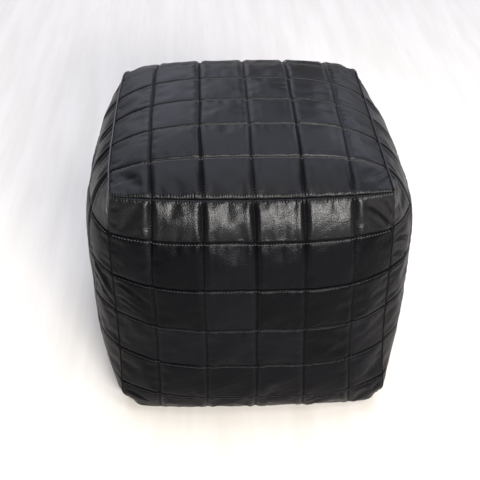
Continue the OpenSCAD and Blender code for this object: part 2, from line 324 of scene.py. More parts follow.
@dataclass(frozen=True)
class Weave:
    """Plain woven cloth, with warp and weft threads crossing."""

    name: str
    colour: Colour
    shade: Colour
    pitch: float = 0.0006

    def make(self) -> bpy.types.Material:
        """Make the material.

        Returns:
            The material.
        """
        s = Shade(self.name)
        place = s.place()
        turn = 2 * math.pi / self.pitch
        ways = [(s.node("ShaderNodeSeparateXYZ", {}, place, out=k) * turn).sine() for k in range(3)]
        weave = (ways[0] * ways[1] + ways[1] * ways[2] + ways[2] * ways[0]) * 0.33 + 0.5
        slub = s.noise(place, 160.0, 3.0, 0.6)
        colour = s.mix((weave * 0.5 + slub * 0.5).ramp(0.2, 0.8), self.shade, self.colour)
        return s.finish(s.surface({"Sheen Weight": 0.2}, Base_Color=colour, Roughness=slub * 0.12 + 0.8,
                                  Normal=s.bump(weave * 0.8 + slub * 0.2, 0.0002, 0.8)))


@dataclass(frozen=True)
class OldBrass:
    """Darkened zip brass, brighter in scattered patches where the tarnish is thinner."""

    name: str = "old_brass"
    bright: Colour = rgb(0.52, 0.39, 0.17)
    dark: Colour = rgb(0.16, 0.115, 0.06)

    def make(self) -> bpy.types.Material:
        """Make the material.

        Returns:
            The material.
        """
        s = Shade(self.name)
        place = s.place()
        tarnish = s.noise(place, 420.0, 5.0, 0.65)
        scratch = s.noise(s.stretched(place, (0.12, 1.0, 1.0)), 3200.0, 2.0, 0.6)
        colour = s.mix(tarnish.ramp(0.35, 0.7), self.dark, self.bright)
        satin = 0.55 - tarnish * 0.25 + scratch * 0.12
        return s.finish(s.surface({"Metallic": 1.0}, Base_Color=colour, Roughness=satin,
                                  Normal=s.bump(scratch * 0.6 + tarnish * 0.4, 0.00005, 0.5)))


# ---------------------------------------------------------------- the stuffed shape


class Panel(Enum):
    """The six panels of the cover."""

    TOP = "top"
    FRONT = "front"
    BACK = "back"
    LEFT = "left"
    RIGHT = "right"
    BOTTOM = "bottom"

    def on_cube(self, u: Array, v: Array) -> Array:
        """Place a panel's own coordinates on the cube.

        Args:
            u: From -1 to 1 along the panel.
            v: From -1 to 1 up or back. u cross v points out of the cover.

        Returns:
            Points of the cube, from -1 to 1 along each axis.
        """
        one = np.ones_like(u)
        places = {
            Panel.TOP: (u, v, one),
            Panel.FRONT: (u, -one, v),
            Panel.BACK: (-u, one, v),
            Panel.LEFT: (-one, -u, v),
            Panel.RIGHT: (one, u, v),
            Panel.BOTTOM: (-u, v, -one),
        }
        return np.stack(places[self], -1)


QUILTED = (Panel.TOP, Panel.FRONT, Panel.BACK, Panel.LEFT, Panel.RIGHT)


def unit(vectors: Array) -> Array:
    """Return vectors of length 1."""
    return vectors / np.maximum(np.linalg.norm(vectors, axis=-1, keepdims=True), 1e-12)


def bell(x: Array, width: float) -> Array:
    """Return 1 where x is 0, and less on both sides of it over width."""
    return np.exp(-((x / width) ** 2))


def eased(t: Array) -> Array:
    """Return a smooth step, from 0 where t is 0 or less to 1 where it is 1 or more."""
    t = np.clip(t, 0, 1)
    return t * t * (3 - 2 * t)


@dataclass(frozen=True)
class Blow:
    """How far one panel blows out: its crown, the bow of its edges and where the crown peaks."""

    crown: float
    bow: float
    peak_up: float = 0.0
    peak_along: float = 0.0


@dataclass(frozen=True)
class StuffedCube:
    """The surface of the cover over its stuffing, which has settled a little to one side."""

    half: float
    middle: float
    lift: float = 14 * MM
    roll: float = 3.62
    left: Blow = Blow(36 * MM, 6.8 * MM, 0.08, -0.15)
    right: Blow = Blow(47 * MM, -1.2 * MM, 0.18, -0.18)
    front: Blow = Blow(38.5 * MM, 6.8 * MM, -0.17)
    back: Blow = Blow(36 * MM, 6.8 * MM, -0.08)
    top: Blow = Blow(32 * MM, 3 * MM)
    contact: float = 2.6
    taper: tuple[float, float, float] = (-0.010, 0.030, -0.037)
    lean: float = -3.0 * MM
    top_shift: float = -1.8 * MM
    corner_round: float = 0.048
    corner_reach: float = 0.085
    low_corners: float = 1.0
    back_corners: float = 0.5
    front_corners: float = 0.0
    mitre: int = 70
    front_seam_sag: float = 5.0 * MM
    row_spread: float = 1.07
    count: int = 6

    def swell(self, s: Array) -> Array:
        """Return how far a panel has risen, from 0 at its edge to 1 at its middle."""
        return 1 - np.abs(s) ** self.roll

    def _blown(self, blow: Blow, along: Array, up: Array) -> Array:
        """Work out how far a side panel stands out.

        Args:
            blow: How the panel blows out.
            along: Places along it, from -1 to 1.
            up: Places up it, from -1 to 1.

        Returns:
            How far it stands out there.
        """
        a = self.swell(along - blow.peak_along * (1 - along**2))
        b = self.swell(up - blow.peak_up * (1 - up**2))
        return blow.bow * (self.swell(along) + b) + blow.crown * a * b

    def point(self, p: Array, depth: float | Array = 0.0, floor: float | None = None) -> Array:
        """Place points of the cube on the cover.

        Args:
            p: Points of the cube.
            depth: How far under the leather's outer face they lie.
            floor: How far above the floor they lie where the underside is flat. None keeps depth.

        Returns:
            Points in the frame.
        """
        x, y, z = p[..., 0], p[..., 1], p[..., 2]
        half = self.half - depth
        side = np.where(x > 0, self._blown(self.right, y, z), self._blown(self.left, y, z))
        face = np.where(y > 0, self._blown(self.back, x, z), self._blown(self.front, x, z))
        sx, sy = self.swell(x), self.swell(y)
        rise = self.top.bow * (sx + sy) + self.top.crown * sx * sy
        drop = self.lift + depth - (depth if floor is None else floor)
        sink = drop * np.minimum(1.0, self.contact * np.maximum(sx, 0.0) * np.maximum(sy, 0.0))
        wide = 1 + self.taper[0] * z + self.taper[1] * z**2 + self.taper[2] * z**3
        shift = self.lean * z + self.top_shift * np.clip(z, 0, 1) ** 4
        gone = ((1 - np.abs(p)) ** 2).sum(-1) / self.corner_reach**2
        pulled = np.where(z < 0, self.low_corners, np.where(y < 0, self.front_corners, self.back_corners))
        kept = 1 - self.corner_round * pulled * np.exp(-gone)
        upright = np.where(z > 0, kept, 1 - 0.4 * (1 - kept))
        by_front, by_top = np.clip((-y - 0.5) * 2, 0, 1), np.clip((z - 0.5) * 2, 0, 1)
        sag = self.front_seam_sag * (1 - x**2) * by_front**2 * by_top**2
        return np.stack([
            x * (half + side) * wide * kept + shift,
            y * (half + face) * wide * kept - 0.6 * sag,
            self.middle + z * (half + np.where(z > 0, rise, sink)) * upright - 0.8 * sag,
        ], -1)

    def normal(self, panel: Panel, u: Array, v: Array) -> Array:
        """Work out the way a panel faces.

        Args:
            panel: The panel.
            u: Places along it.
            v: Places up or back on it.

        Returns:
            Its outward normals there.
        """
        step = 1e-4
        du = self.point(panel.on_cube(u + step, v)) - self.point(panel.on_cube(u - step, v))
        dv = self.point(panel.on_cube(u, v + step)) - self.point(panel.on_cube(u, v - step))
        return unit(np.cross(du, dv))

    def outward(self, panel: Panel, u: Array, v: Array) -> Array:
        """Work out the way a panel's relief stands, which turns into the mitre beside an edge seam.

        Args:
            panel: The panel.
            u: Places along it.
            v: Places up or back on it.

        Returns:
            Vectors of length 1 there.
        """
        p = panel.on_cube(u, v)
        mitre = unit(np.sign(p) * np.abs(p) ** self.mitre)
        near = (np.maximum(np.abs(u), np.abs(v)) ** self.mitre)[..., None]
        return unit(self.normal(panel, u, v) * (1 - near) + mitre * near)

    def seams(self) -> Array:
        """Return where the seams between patches lie on a panel, with its two edges."""
        inner = (2 * np.arange(1, self.count) / self.count - 1) * self.row_spread
        return np.concatenate([[-1.0], inner, [1.0]])


# ---------------------------------------------------------------- meshes


def make_piece(name: str, points: Array, faces: Sequence, material: bpy.types.Material,
               numbers: dict[str, Array] | None = None) -> bpy.types.Object:
    """Make a mesh piece.

    Args:
        name: The piece's name.
        points: Its vertices.
        faces: Its faces, as rows of vertex numbers.
        material: Its finish.
        numbers: Numbers to store on its vertices, by name.

    Returns:
        The new object, shaded smooth.
    """
    mesh = bpy.data.meshes.new(name)
    mesh.from_pydata(points.reshape(-1, 3).tolist(), [], [list(map(int, f)) for f in faces])
    for key, value in (numbers or {}).items():
        stored = mesh.attributes.new(key, "FLOAT", "POINT")
        stored.data.foreach_set("value", value.astype(np.float32).ravel())
    mesh.shade_smooth()
    mesh.materials.append(material)
    mesh.update()
    piece = bpy.data.objects.new(name, mesh)
    bpy.context.scene.collection.objects.link(piece)
    return piece


def settle(piece: bpy.types.Object, body: str, replaces: Sequence[str] = ()) -> bpy.types.Object:
    """Fix a piece in the frame.

    Args:
        piece: The piece.
        body: The body that it moves with.
        replaces: The CAD nodes that it stands for.

    Returns:
        The piece.
    """
    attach(piece, body)
    if replaces:
        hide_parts(*replaces)
    LOG.info("%s: %d vertices on %s", piece.name, len(piece.data.vertices), body)
    return piece


def grid_faces(cols: int, rows: int, first: int = 0) -> Array:
    """List the quads of a grid whose points run along its rows first.

    Args:
        cols: How many columns of points it has.
        rows: How many rows.
        first: The number of its first point.

    Returns:
        The quads, as rows of four vertex numbers.
    """
    i, j = np.meshgrid(np.arange(cols - 1), np.arange(rows - 1), indexing="ij")
    a = (first + i * rows + j).ravel()
    return np.stack([a, a + rows, a + rows + 1, a + 1], -1)


def zipped(outer: Array, inner: Array, outer_at: Array, inner_at: Array) -> list[tuple[int, int, int]]:
    """Join two loops of different counts with triangles.

    Args:
        outer: Vertex numbers of the outer loop.
        inner: Vertex numbers of the inner loop.
        outer_at: How far round each outer vertex is, from 0 to 4.
        inner_at: The same for the inner loop.

    Returns:
        The triangles, which face the way that both loops turn anticlockwise.
    """
    faces, a, b, m, n = [], 0, 0, len(outer), len(inner)
    ahead_outer, ahead_inner = np.append(outer_at, 4.0), np.append(inner_at, 4.0)
    while a < m or b < n:
        if b >= n or (a < m and ahead_outer[a + 1] <= ahead_inner[b + 1]):
            faces.append((outer[a % m], outer[(a + 1) % m], inner[b % n]))
            a += 1
        else:
            faces.append((outer[a % m], inner[(b + 1) % n], inner[b % n]))
            b += 1
    return faces


def smooth_noise(seed: int, *coordinates: Array, waves: int = 5) -> Array:
    """Return a smooth, repeatable wander between about -1 and 1.

    Args:
        seed: Which wander.
        coordinates: The places, scaled so that the wander turns over about once per unit.
        waves: How many sine waves it sums.

    Returns:
        The wander at each place.
    """
    draw = np.random.default_rng(seed)
    total = np.zeros_like(coordinates[0], float)
    for _ in range(waves):
        ways = draw.normal(0, 1.6, len(coordinates))
        total = total + np.sin(sum(w * c for w, c in zip(ways, coordinates)) * 2 + draw.uniform(0, 6.283))
    return total / math.sqrt(waves) * 0.8


# ---------------------------------------------------------------- the quilted panels


class Edge(Enum):
    """How an edge seam of the cover looks."""

    SUNK = "sunk between two gathered lips"
    WELTED = "with its welt standing out"
    PLAIN = "narrow and flat"


EDGE_LIP = {Edge.SUNK: 4.8 * MM, Edge.WELTED: 1.8 * MM, Edge.PLAIN: 1.7 * MM}
EDGE_GATHER = {Edge.SUNK: 0.75 * MM, Edge.WELTED: 0.18 * MM, Edge.PLAIN: 0.16 * MM}


@dataclass(frozen=True)
class Crease:
    """A fold in the leather of one panel, between two places on it."""

    panel: Panel
    start: tuple[float, float]
    end: tuple[float, float]
    depth: float
    width: float = 3.2 * MM


CREASES = (
    Crease(Panel.FRONT, (0.80, 0.93), (0.985, 0.74), 3.2 * MM, 4.0 * MM),
    Crease(Panel.FRONT, (0.93, 0.95), (0.99, 0.80), 1.4 * MM, 2.6 * MM),
    Crease(Panel.FRONT, (-0.98, 0.30), (-0.78, 0.20), 1.8 * MM, 3.0 * MM),
    Crease(Panel.FRONT, (-0.99, 0.16), (-0.82, 0.11), 1.4 * MM, 2.8 * MM),
    Crease(Panel.FRONT, (-0.97, -0.80), (-0.80, -0.86), 1.6 * MM, 3.0 * MM),
    Crease(Panel.LEFT, (0.80, 0.34), (0.985, 0.17), 2.0 * MM, 3.4 * MM),
    Crease(Panel.LEFT, (0.74, 0.22), (0.97, 0.07), 1.6 * MM, 3.0 * MM),
    Crease(Panel.RIGHT, (-0.98, 0.60), (-0.80, 0.46), 2.0 * MM, 3.2 * MM),
    Crease(Panel.RIGHT, (-0.985, 0.48), (-0.84, 0.34), 1.6 * MM, 3.0 * MM),
    Crease(Panel.TOP, (-0.985, -0.90), (-0.80, -0.84), 1.2 * MM, 3.0 * MM),
    Crease(Panel.TOP, (0.86, -0.90), (0.985, -0.80), 1.4 * MM, 3.0 * MM),
    Crease(Panel.BACK, (0.80, 0.90), (0.98, 0.76), 2.2 * MM, 3.4 * MM),
    Crease(Panel.BACK, (-0.98, -0.30), (-0.80, -0.40), 1.6 * MM, 3.0 * MM),
)


@dataclass
class Quilt:
    """How the wadding puffs out the patches, worked out with a cloth simulation."""

    cube: StuffedCube
    cells: int = 10
    frames: int = 18
    pressure: float = 3.0
    slack: tuple[float, float] = (0.001, 0.010)
    cap: float = 6.0 * MM
    puff: float = 3.8 * MM
    seed: int = 11
    moved: dict[Panel, Array] = field(default_factory=dict)

    def lines(self) -> Array:
        """Return the coarse grid's lines along a panel."""
        steps = np.arange(self.cube.count * self.cells + 1) / self.cells
        return np.interp(steps, np.arange(self.cube.count + 1), self.cube.seams())

    def work_out(self) -> None:
        """Fill moved with each panel's puff, as vectors on the coarse grid."""
        lines = self.lines()
        u, v = np.meshgrid(lines, lines, indexing="ij")
        at_rest = np.concatenate([self.cube.point(p.on_cube(u, v)).reshape(-1, 3) for p in QUILTED])
        blown = self._simulate(at_rest, len(lines))
        move = blown - at_rest
        far = np.linalg.norm(move, axis=1, keepdims=True)
        move *= np.minimum(1.0, self.cap / np.maximum(far, 1e-9))
        shaped = move.reshape(len(QUILTED), len(lines), len(lines), 3)
        self.moved = dict(zip(QUILTED, shaped))
        LOG.info("quilt: puffs %.1f mm on average, %.1f mm at most", far.mean() / MM, far.max() / MM)

    def _simulate(self, at_rest: Array, n: int) -> Array:
        """Blow up the five panels as cloth that is held down along its seams.

        Args:
            at_rest: The points of all five coarse grids.
            n: How many lines a grid has.

        Returns:
            The points after the last frame.
        """
        faces = np.concatenate([grid_faces(n, n, k * n * n) for k in range(len(QUILTED))])
        sheet = make_piece("quilt_in_work", at_rest, faces, bpy.data.materials.new("quilt_in_work"))
        index = np.arange(n)
        held = np.zeros((n, n), bool)
        held[index % self.cells == 0, :] = True
        held[:, index % self.cells == 0] = True
        sewn = sheet.vertex_groups.new(name="sewn")
        loose = sheet.vertex_groups.new(name="loose")
        patch = np.minimum(index // self.cells, self.cube.count - 1)
        draw = np.random.default_rng(self.seed)
        for k in range(len(QUILTED)):
            sewn.add((np.flatnonzero(held.ravel()) + k * n * n).tolist(), 1.0, "REPLACE")
            easy = draw.uniform(0, 1, (self.cube.count, self.cube.count))[np.ix_(patch, patch)]
            for level in np.unique(easy):
                alike = np.flatnonzero(easy.ravel() == level) + k * n * n
                loose.add(alike.tolist(), float(level), "REPLACE")
        cloth = sheet.modifiers.new("Cloth", "CLOTH")
        made = cloth.settings
        made.quality = 6
        made.mass = 0.25
        made.tension_stiffness = made.compression_stiffness = 25.0
        made.shear_stiffness = 12.0
        made.bending_stiffness = 6.0
        made.tension_damping = made.compression_damping = made.shear_damping = 20.0
        made.air_damping = 4.0
        made.vertex_group_mass = "sewn"
        made.vertex_group_shrink = "loose"
        made.shrink_min, made.shrink_max = -self.slack[1], -self.slack[0]
        made.use_pressure = True
        made.uniform_pressure_force = self.pressure
        made.effector_weights.gravity = 0.0
        cloth.point_cache.frame_start, cloth.point_cache.frame_end = 1, self.frames
        scene = bpy.context.scene
        for f in range(1, self.frames + 1):
            scene.frame_set(f)
        shown = sheet.evaluated_get(bpy.context.evaluated_depsgraph_get())
        blown = np.empty(len(at_rest) * 3)
        shown.data.vertices.foreach_get("co", blown)
        scene.frame_set(1)
        bpy.data.objects.remove(sheet)
        return blown.reshape(-1, 3)

    def at(self, panel: Panel, u: Array, v: Array) -> Array:
        """Find the puff at places of a panel, smoothly within each patch.

        Args:
            panel: The panel.
            u: Places along it.
            v: Places up or back on it.

        Returns:
            How each place moves.
        """
        seams = self.cube.seams()
        steps = np.arange(self.cube.count + 1)
        along = [np.interp(np.clip(w, -1, 1), seams, steps) for w in (u, v)]
        cell = [np.minimum(a.astype(int), self.cube.count - 1) for a in along]
        inside = [(a - c) * self.cells for a, c in zip(along, cell)]
        base = [np.minimum(i.astype(int), self.cells - 1) for i in inside]
        share = [i - b for i, b in zip(inside, base)]
        grid = self.moved[panel]
        total = np.zeros(u.shape + (3,))
        weights = [self._spline(t) for t in share]
        for i in range(4):
            row = cell[0] * self.cells + np.clip(base[0] + i - 1, 0, self.cells)
            for j in range(4):
                col = cell[1] * self.cells + np.clip(base[1] + j - 1, 0, self.cells)
                total += grid[row, col] * (weights[0][i] * weights[1][j])[..., None]
        return total

    @staticmethod
    def _spline(t: Array) -> tuple[Array, ...]:
        """Work out the four weights of a Catmull-Rom spline.

        Args:
            t: How far between two points of the grid, from 0 to 1.

        Returns:
            The weights of the four points around.
        """
        return (
            (-t + 2 * t**2 - t**3) / 2,
            (2 - 5 * t**2 + 3 * t**3) / 2,
            (t + 4 * t**2 - 3 * t**3) / 2,
            (-(t**2) + t**3) / 2,
        )


NEAR_SEAM = np.array([0.35, 0.8, 1.4, 2.2, 3.0, 3.8, 5.0, 6.8, 9.0, 11.5]) * MM
EDGE_RINGS = np.array([5.6, 4.2, 3.2, 2.4, 1.8, 1.3, 0.9, 0.55, 0.28, 0.1]) * MM
TURNED_IN = np.array([1.2, 3.0, 5.0]) * MM
# Each arc gives a stitch's points: how far along it, and how many millimetres out of the leather.
TOPSTITCH_ARC = ((-1, -0.2), (-0.5, 0.35), (0, 0.45), (0.5, 0.35), (1, -0.2))
CROSSING_ARC = ((-1, -0.35), (-0.5, -0.05), (0, 0.0), (0.5, -0.05), (1, -0.35))
HEM_ARC = ((-0.5, -0.25), (-0.3, 0.2), (0, 0.3), (0.3, 0.2), (0.5, -0.25))


@dataclass(frozen=True)
class Ridge:
    """A rounded ridge beside a seam: how high it is, how far from the seam, and how wide."""

    high: float
    away: float
    wide: float

    def over(self, x: Array) -> Array:
        """Return its height at x, the distance from the seam."""
        return self.high * bell(x - self.away, self.wide)


@dataclass
class PatchworkPanel:
    """One quilted panel of the cover: its leather, and the topstitching on it.

    The seams up the panel are valleys with a slit at the bottom. The seams along it are folds, with one
    patch lapped over the other and its edge sewn down in a groove. The valleys fade near the panel's
    edges, and the top's are the calmest.
    """

    panel: Panel
    cube: StuffedCube
    quilt: Quilt
    leather: bpy.types.Material
    thread: bpy.types.Material
    scale: float = PANEL_UNIT
    side_points: int = 384
    band: float = 8 * MM
    plain_step: float = 2.7 * MM
    uneven_seams: tuple[float, float] = (0.8, 1.25)
    polished: tuple[float, float] = (0.68, 0.78)
    valley: float = 2.2 * MM
    valley_width: float = 3.4 * MM
    slit: float = 0.9 * MM
    slit_width: float = 0.7 * MM
    fold: float = 1.5 * MM
    fold_width: float = 1.9 * MM
    fold_slit: float = 1.3 * MM
    fold_slit_width: float = 0.55 * MM
    lap: Ridge = Ridge(0.35 * MM, 2.2 * MM, 1.6 * MM)
    shoulders: Ridge = Ridge(0.8 * MM, 9 * MM, 4 * MM)
    top_calm: float = 0.78
    top_fade: float = 22 * MM
    side_fade: float = 10 * MM
    pucker_pitch: float = 3.7 * MM
    groove: float = 0.4 * MM
    groove_width: float = 0.8 * MM
    stitch_line: float = 3.1 * MM
    stitch_pitch: float = 4.3 * MM
    stitch_length: float = 2.9 * MM
    stitch_radius: float = 0.42 * MM
    wander: float = 0.0035

    def edges(self) -> dict[str, Edge]:
        """Say how the seams along the panel's four edges look.

        Returns:
            Each edge's look, by its coordinate and its side of it.
        """
        if self.panel is Panel.TOP:
            return {"u-": Edge.WELTED, "u+": Edge.WELTED, "v-": Edge.SUNK, "v+": Edge.SUNK}
        upper = Edge.SUNK if self.panel in (Panel.FRONT, Panel.BACK) else Edge.WELTED
        return {"u-": Edge.PLAIN, "u+": Edge.PLAIN, "v-": Edge.PLAIN, "v+": upper}

    def _seed(self, extra: int) -> int:
        """Return the seed of this panel's wanders."""
        return 100 * list(Panel).index(self.panel) + extra

    def _nearest(self, w: Array) -> tuple[Array, Array]:
        """Find the nearest seam between patches.

        Args:
            w: Places across the seams, from -1 to 1.

        Returns:
            The signed distance to the nearest seam, and that seam's number.
        """
        inner = self.cube.seams()[1:-1]
        gap = (w[..., None] - inner) * self.scale
        which = np.abs(gap).argmin(-1)
        return np.take_along_axis(gap, which[..., None], -1)[..., 0], which

    def _edge_profile(self, u: Array, v: Array) -> tuple[Array, Array, Array]:
        """Work out how the leather goes into the edge seams.

        Args:
            u: Places along the panel.
            v: Places up or back on it.

        Returns:
            How far it rolls in, how high its puckers are, and how near an edge is, from 0 to 1.
        """
        roll, gather = np.zeros_like(u), np.zeros_like(u)
        near = np.zeros_like(u)
        for key, kind in self.edges().items():
            w, along = (u, v) if key[0] == "u" else (v, u)
            away = np.maximum((1 - w if key[1] == "+" else 1 + w) * self.scale, 0.0)
            radius = EDGE_LIP[kind]
            inside = np.clip(radius - away, 0.0, radius)
            roll = np.maximum(roll, radius - np.sqrt(np.maximum(radius**2 - inside**2, 0.0)))
            run = along * self.scale
            uneven = 0.65 + 0.35 * smooth_noise(self._seed(7), run * 220, away * 40)
            stray = 1.6 * smooth_noise(self._seed(8), run * 70)
            wave = np.sin(run * (2 * math.pi / self.pucker_pitch) + stray)
            peak = 0.6 * radius
            fade = ((away / peak) * np.exp(1 - away / peak)) ** 2
            gather = gather + EDGE_GATHER[kind] * uneven * wave * fade
            near = np.maximum(near, bell(away, 3.5 * MM))
        return roll, gather, near

    def relief(self, u: Array, v: Array) -> dict[str, Array]:
        """Return the seams' relief and what the finish needs to know, at places of the panel.

        Args:
            u: Places along it.
            v: Places up or back on it.

        Returns:
            Heights along the normal under "height", and the finish's numbers under their names.
        """
        x, column_seam = self._nearest(u)
        y, row_seam = self._nearest(v)
        draw = np.random.default_rng(self._seed(1))
        deep_x = draw.uniform(*self.uneven_seams, self.cube.count - 1)[column_seam]
        deep_y = draw.uniform(*self.uneven_seams, self.cube.count - 1)[row_seam]
        away = (1 - np.maximum(np.abs(u), np.abs(v))) * self.scale
        on_top = self.panel is Panel.TOP
        calm, uneven, fade = (self.top_calm, 0.5, self.top_fade) if on_top else (1.0, 1.0, self.side_fade)
        deep_x = deep_x * self._slack(v) * (0.35 + 0.65 * np.minimum(1.0, away / fade))
        valley = deep_x * (calm * self.valley * bell(x, calm * self.valley_width)
                           + self.slit * np.exp(-np.abs(x) / self.slit_width))
        fold = deep_y * (self.fold * bell(y, self.fold_width)
                         + self.fold_slit * np.exp(-np.abs(y) / self.fold_slit_width))
        stitched = self.groove * bell(y + self.stitch_line, self.groove_width)
        roll, gather, near = self._edge_profile(u, v)
        soft = uneven * MM * (0.5 * smooth_noise(self._seed(3), u * 5, v * 5)
                              + 0.18 * smooth_noise(self._seed(4), u * 17, v * 17, waves=7))
        shoulders = calm**2 * self._slack(v) * self.shoulders.over(np.abs(x))
        height = (self.lap.over(y) - np.hypot(valley, fold) - stitched - roll + gather + self.creased(u, v)
                  + (shoulders + soft) * np.minimum(1.0, away / (9 * MM)))
        # seam marks where the leather's colour is darkened as painted shade, in the seams between patches
        # and close to the edge seams; rolled marks the shoulders beside them, whose colour is lightened as
        # a painted highlight.
        seam = np.maximum(np.maximum(bell(x, 1.4 * MM), bell(y, 0.9 * MM)), near**3)
        rolled = np.maximum(bell(np.abs(x) - 4.2 * MM, 1.6 * MM),
                            bell(np.abs(y) - 2.4 * MM, 1.0 * MM) * 0.8)
        pulled = np.maximum(bell(x, 3.6 * MM), 0.45 * bell(y, 2.4 * MM))
        run = np.where(np.abs(x) < np.abs(y), v, u) * self.scale
        return {"height": height, "seam": seam, "shoulder": rolled * (1 - near), "run": run,
                "gather": pulled * (1 - near), "tone": self._tone(u, v),
                "polish_and_highlight": self._near_top(v, *self.polished)}

    def _near_top(self, v: Array, low: float = 0.5, high: float = 0.8) -> Array:
        """Return how near the top a place is: where hands and knees rub it, and where the topstitch thread
        is painted lighter as a highlight.

        Args:
            v: Places up or back on the panel.
            low: Where wear starts on a side panel.
            high: Where a side panel wears as much as the top.

        Returns:
            0 low on a side, 1 on the top.
        """
        if self.panel is Panel.TOP:
            return np.ones_like(v)
        return eased((v - low) / (high - low))

    def _slack(self, v: Array) -> Array:
        """Return how deep the seams up the panel lie: the stuffing stretches a side flat lower down."""
        return 0.42 + 0.58 * self._near_top(v)

    def _tone(self, u: Array, v: Array) -> Array:
        """Draw each patch's own shade.

        Args:
            u: Places along the panel.
            v: Places up or back on it.

        Returns:
            The shade of the patch at each place, from 0 to 1.
        """
        steps = np.arange(self.cube.count + 1)
        count = self.cube.count
        i, j = (np.clip(np.interp(w, self.cube.seams(), steps).astype(int), 0, count - 1) for w in (u, v))
        return np.random.default_rng(self._seed(2)).uniform(0, 1, (count, count))[i, j]

    def creased(self, u: Array, v: Array) -> Array:
        """Work out the height of this panel's creases.

        Args:
            u: Places along it.
            v: Places up or back on it.

        Returns:
            The height at each place, below 0 in a crease and above it on its lip.
        """
        total = np.zeros_like(u)
        for fold in (c for c in CREASES if c.panel is self.panel):
            start, end = np.array(fold.start), np.array(fold.end)
            way = end - start
            length = np.linalg.norm(way)
            along = ((u - start[0]) * way[0] + (v - start[1]) * way[1]) / length**2
            bend = 0.09 * length * np.sin(np.clip(along, 0, 1) * math.pi)
            off = (((u - start[0]) * way[1] - (v - start[1]) * way[0]) / length + bend) * self.scale
            taper = eased(np.clip(along / 0.25, 0, 1) * np.clip((1.15 - along) / 0.4, 0, 1))
            lip = 0.7 * bell(off - 1.5 * fold.width, fold.width)
            total += taper * fold.depth * (lip - bell(off, fold.width))
        return total

    def surface(self, u: Array, v: Array, extra: Array | float = 0.0) -> Array:
        """Return the leather's outer face at places of the panel, extra metres higher."""
        relief = self.relief(u, v)
        return self._placed(u, v, relief["height"] + extra)

    def _placed(self, u: Array, v: Array, height: Array) -> Array:
        """Place the leather, puffed and moved out by its heights.

        Args:
            u: Places along the panel.
            v: Places up or back on it.
            height: The height of its relief there.

        Returns:
            Points in the frame.
        """
        free = np.clip((1 - u**2) * (1 - v**2) * 6, 0, 1)
        a = u + self.wander * free * smooth_noise(self._seed(5), u * 3.1, v * 2.3)
        b = v + self.wander * free * smooth_noise(self._seed(6), u * 2.3, v * 3.1)
        base = self.cube.point(self.panel.on_cube(a, b))
        out = self.cube.outward(self.panel, a, b)
        return base + self.quilt.at(self.panel, u, v) + out * height[..., None]

    def _inner_lines(self) -> Array:
        """Space the lines of the grid inside the edge band, close together beside the seams.

        Returns:
            The lines, from -1 to 1 across the panel.
        """
        near, step = NEAR_SEAM, self.plain_step
        seams = self.cube.seams()
        start = 1 - self.band / self.scale
        lines = [-start, start, *seams[1:-1]]
        for low, high in zip(seams[:-1], seams[1:]):
            half = (high - low) / 2
            steps = np.concatenate([near, np.arange(near[-1] + step, half * self.scale, step)]) / self.scale
            steps = steps[steps < half - 0.4 * step / self.scale]
            lines += [low + half, *(low + steps), *(high - steps)]
        lines = np.unique(np.round(lines, 7))
        return lines[np.abs(lines) <= start + 1e-9]

    def build(self) -> bpy.types.Object:
        """Build the panel's leather, with its allowance turned in at the edge seams.

        Returns:
            The leather.
        """
        inner = self._inner_lines()
        n = len(inner)
        u, v = np.meshgrid(inner, inner, indexing="ij")
        us, vs, levels = [u.ravel()], [v.ravel()], [np.zeros(n * n)]
        faces = [tuple(f) for f in grid_faces(n, n)]
        i = np.arange(n - 1)
        border = np.concatenate([i * n, (n - 1) * n + i, (n - 1 - i) * n + n - 1, n - 1 - i])
        border_at = np.concatenate([(inner[:-1] + inner[-1]) / (2 * inner[-1]) + k for k in range(2)]
                                   + [(inner[-1] - inner[:0:-1]) / (2 * inner[-1]) + k for k in (2, 3)])
        t = np.arange(self.side_points) / self.side_points
        loop_at = np.concatenate([t + k for k in range(4)])
        loops = [(away, 0.0) for away in EDGE_RINGS] + [(EDGE_RINGS[-1], fall) for fall in TURNED_IN]
        first = n * n
        m = 4 * self.side_points
        for away, fall in loops:
            reach = 1 - away / self.scale
            line = (2 * t - 1) * reach
            full = np.full_like(line, reach)
            us.append(np.concatenate([line, full, -line, -full]))
            vs.append(np.concatenate([-full, line, full, -line]))
            levels.append(np.full(m, fall))
        faces += zipped(np.arange(first, first + m), border, loop_at, border_at)
        k = np.arange(m)
        after = (k + 1) % m
        for a in first + np.arange(len(loops) - 1) * m:
            faces += [tuple(f) for f in np.stack([a + k, a + m + k, a + m + after, a + after], -1)]
        u, v, fall = (np.concatenate(x) for x in (us, vs, levels))
        relief = self.relief(u, v)
        points = self._placed(u, v, relief.pop("height") - fall)
        piece = make_piece(f"{self.panel.value}_leather", points, faces, self.leather, relief)
        return settle(piece, COVER, [f"{self.panel.value}_patches"])

    def stitch(self) -> bpy.types.Object:
        """Sew the row of topstitches beside each seam that runs along the panel.

        Returns:
            The stitches, as one piece.
        """
        step = self.stitch_pitch / self.scale
        along = np.arange(-1 + 0.03, 1 - 0.03, step)
        rows = self.cube.seams()[1:-1] - self.stitch_line / self.scale
        u, v = (a.ravel() for a in np.meshgrid(along, rows))
        draw = np.random.default_rng(self._seed(9))
        u = u + draw.normal(0, 0.05, u.shape) * step
        v = v + draw.normal(0, 0.06 * MM, v.shape) / self.scale
        half = self.stitch_length / 2 / self.scale
        ends = [self.surface(u + k * half, v, extra=lift * MM) for k, lift in TOPSTITCH_ARC]
        # Stitches higher up the panel get a lighter thread colour: painted highlight.
        piece = tubes(f"{self.panel.value}_topstitch", np.stack(ends, 1), self.stitch_radius,
                      (0.55, 1.0, 1.0, 1.0, 0.55), self.thread, 0.12 + 0.88 * self._near_top(v))
        return settle(piece, COVER)


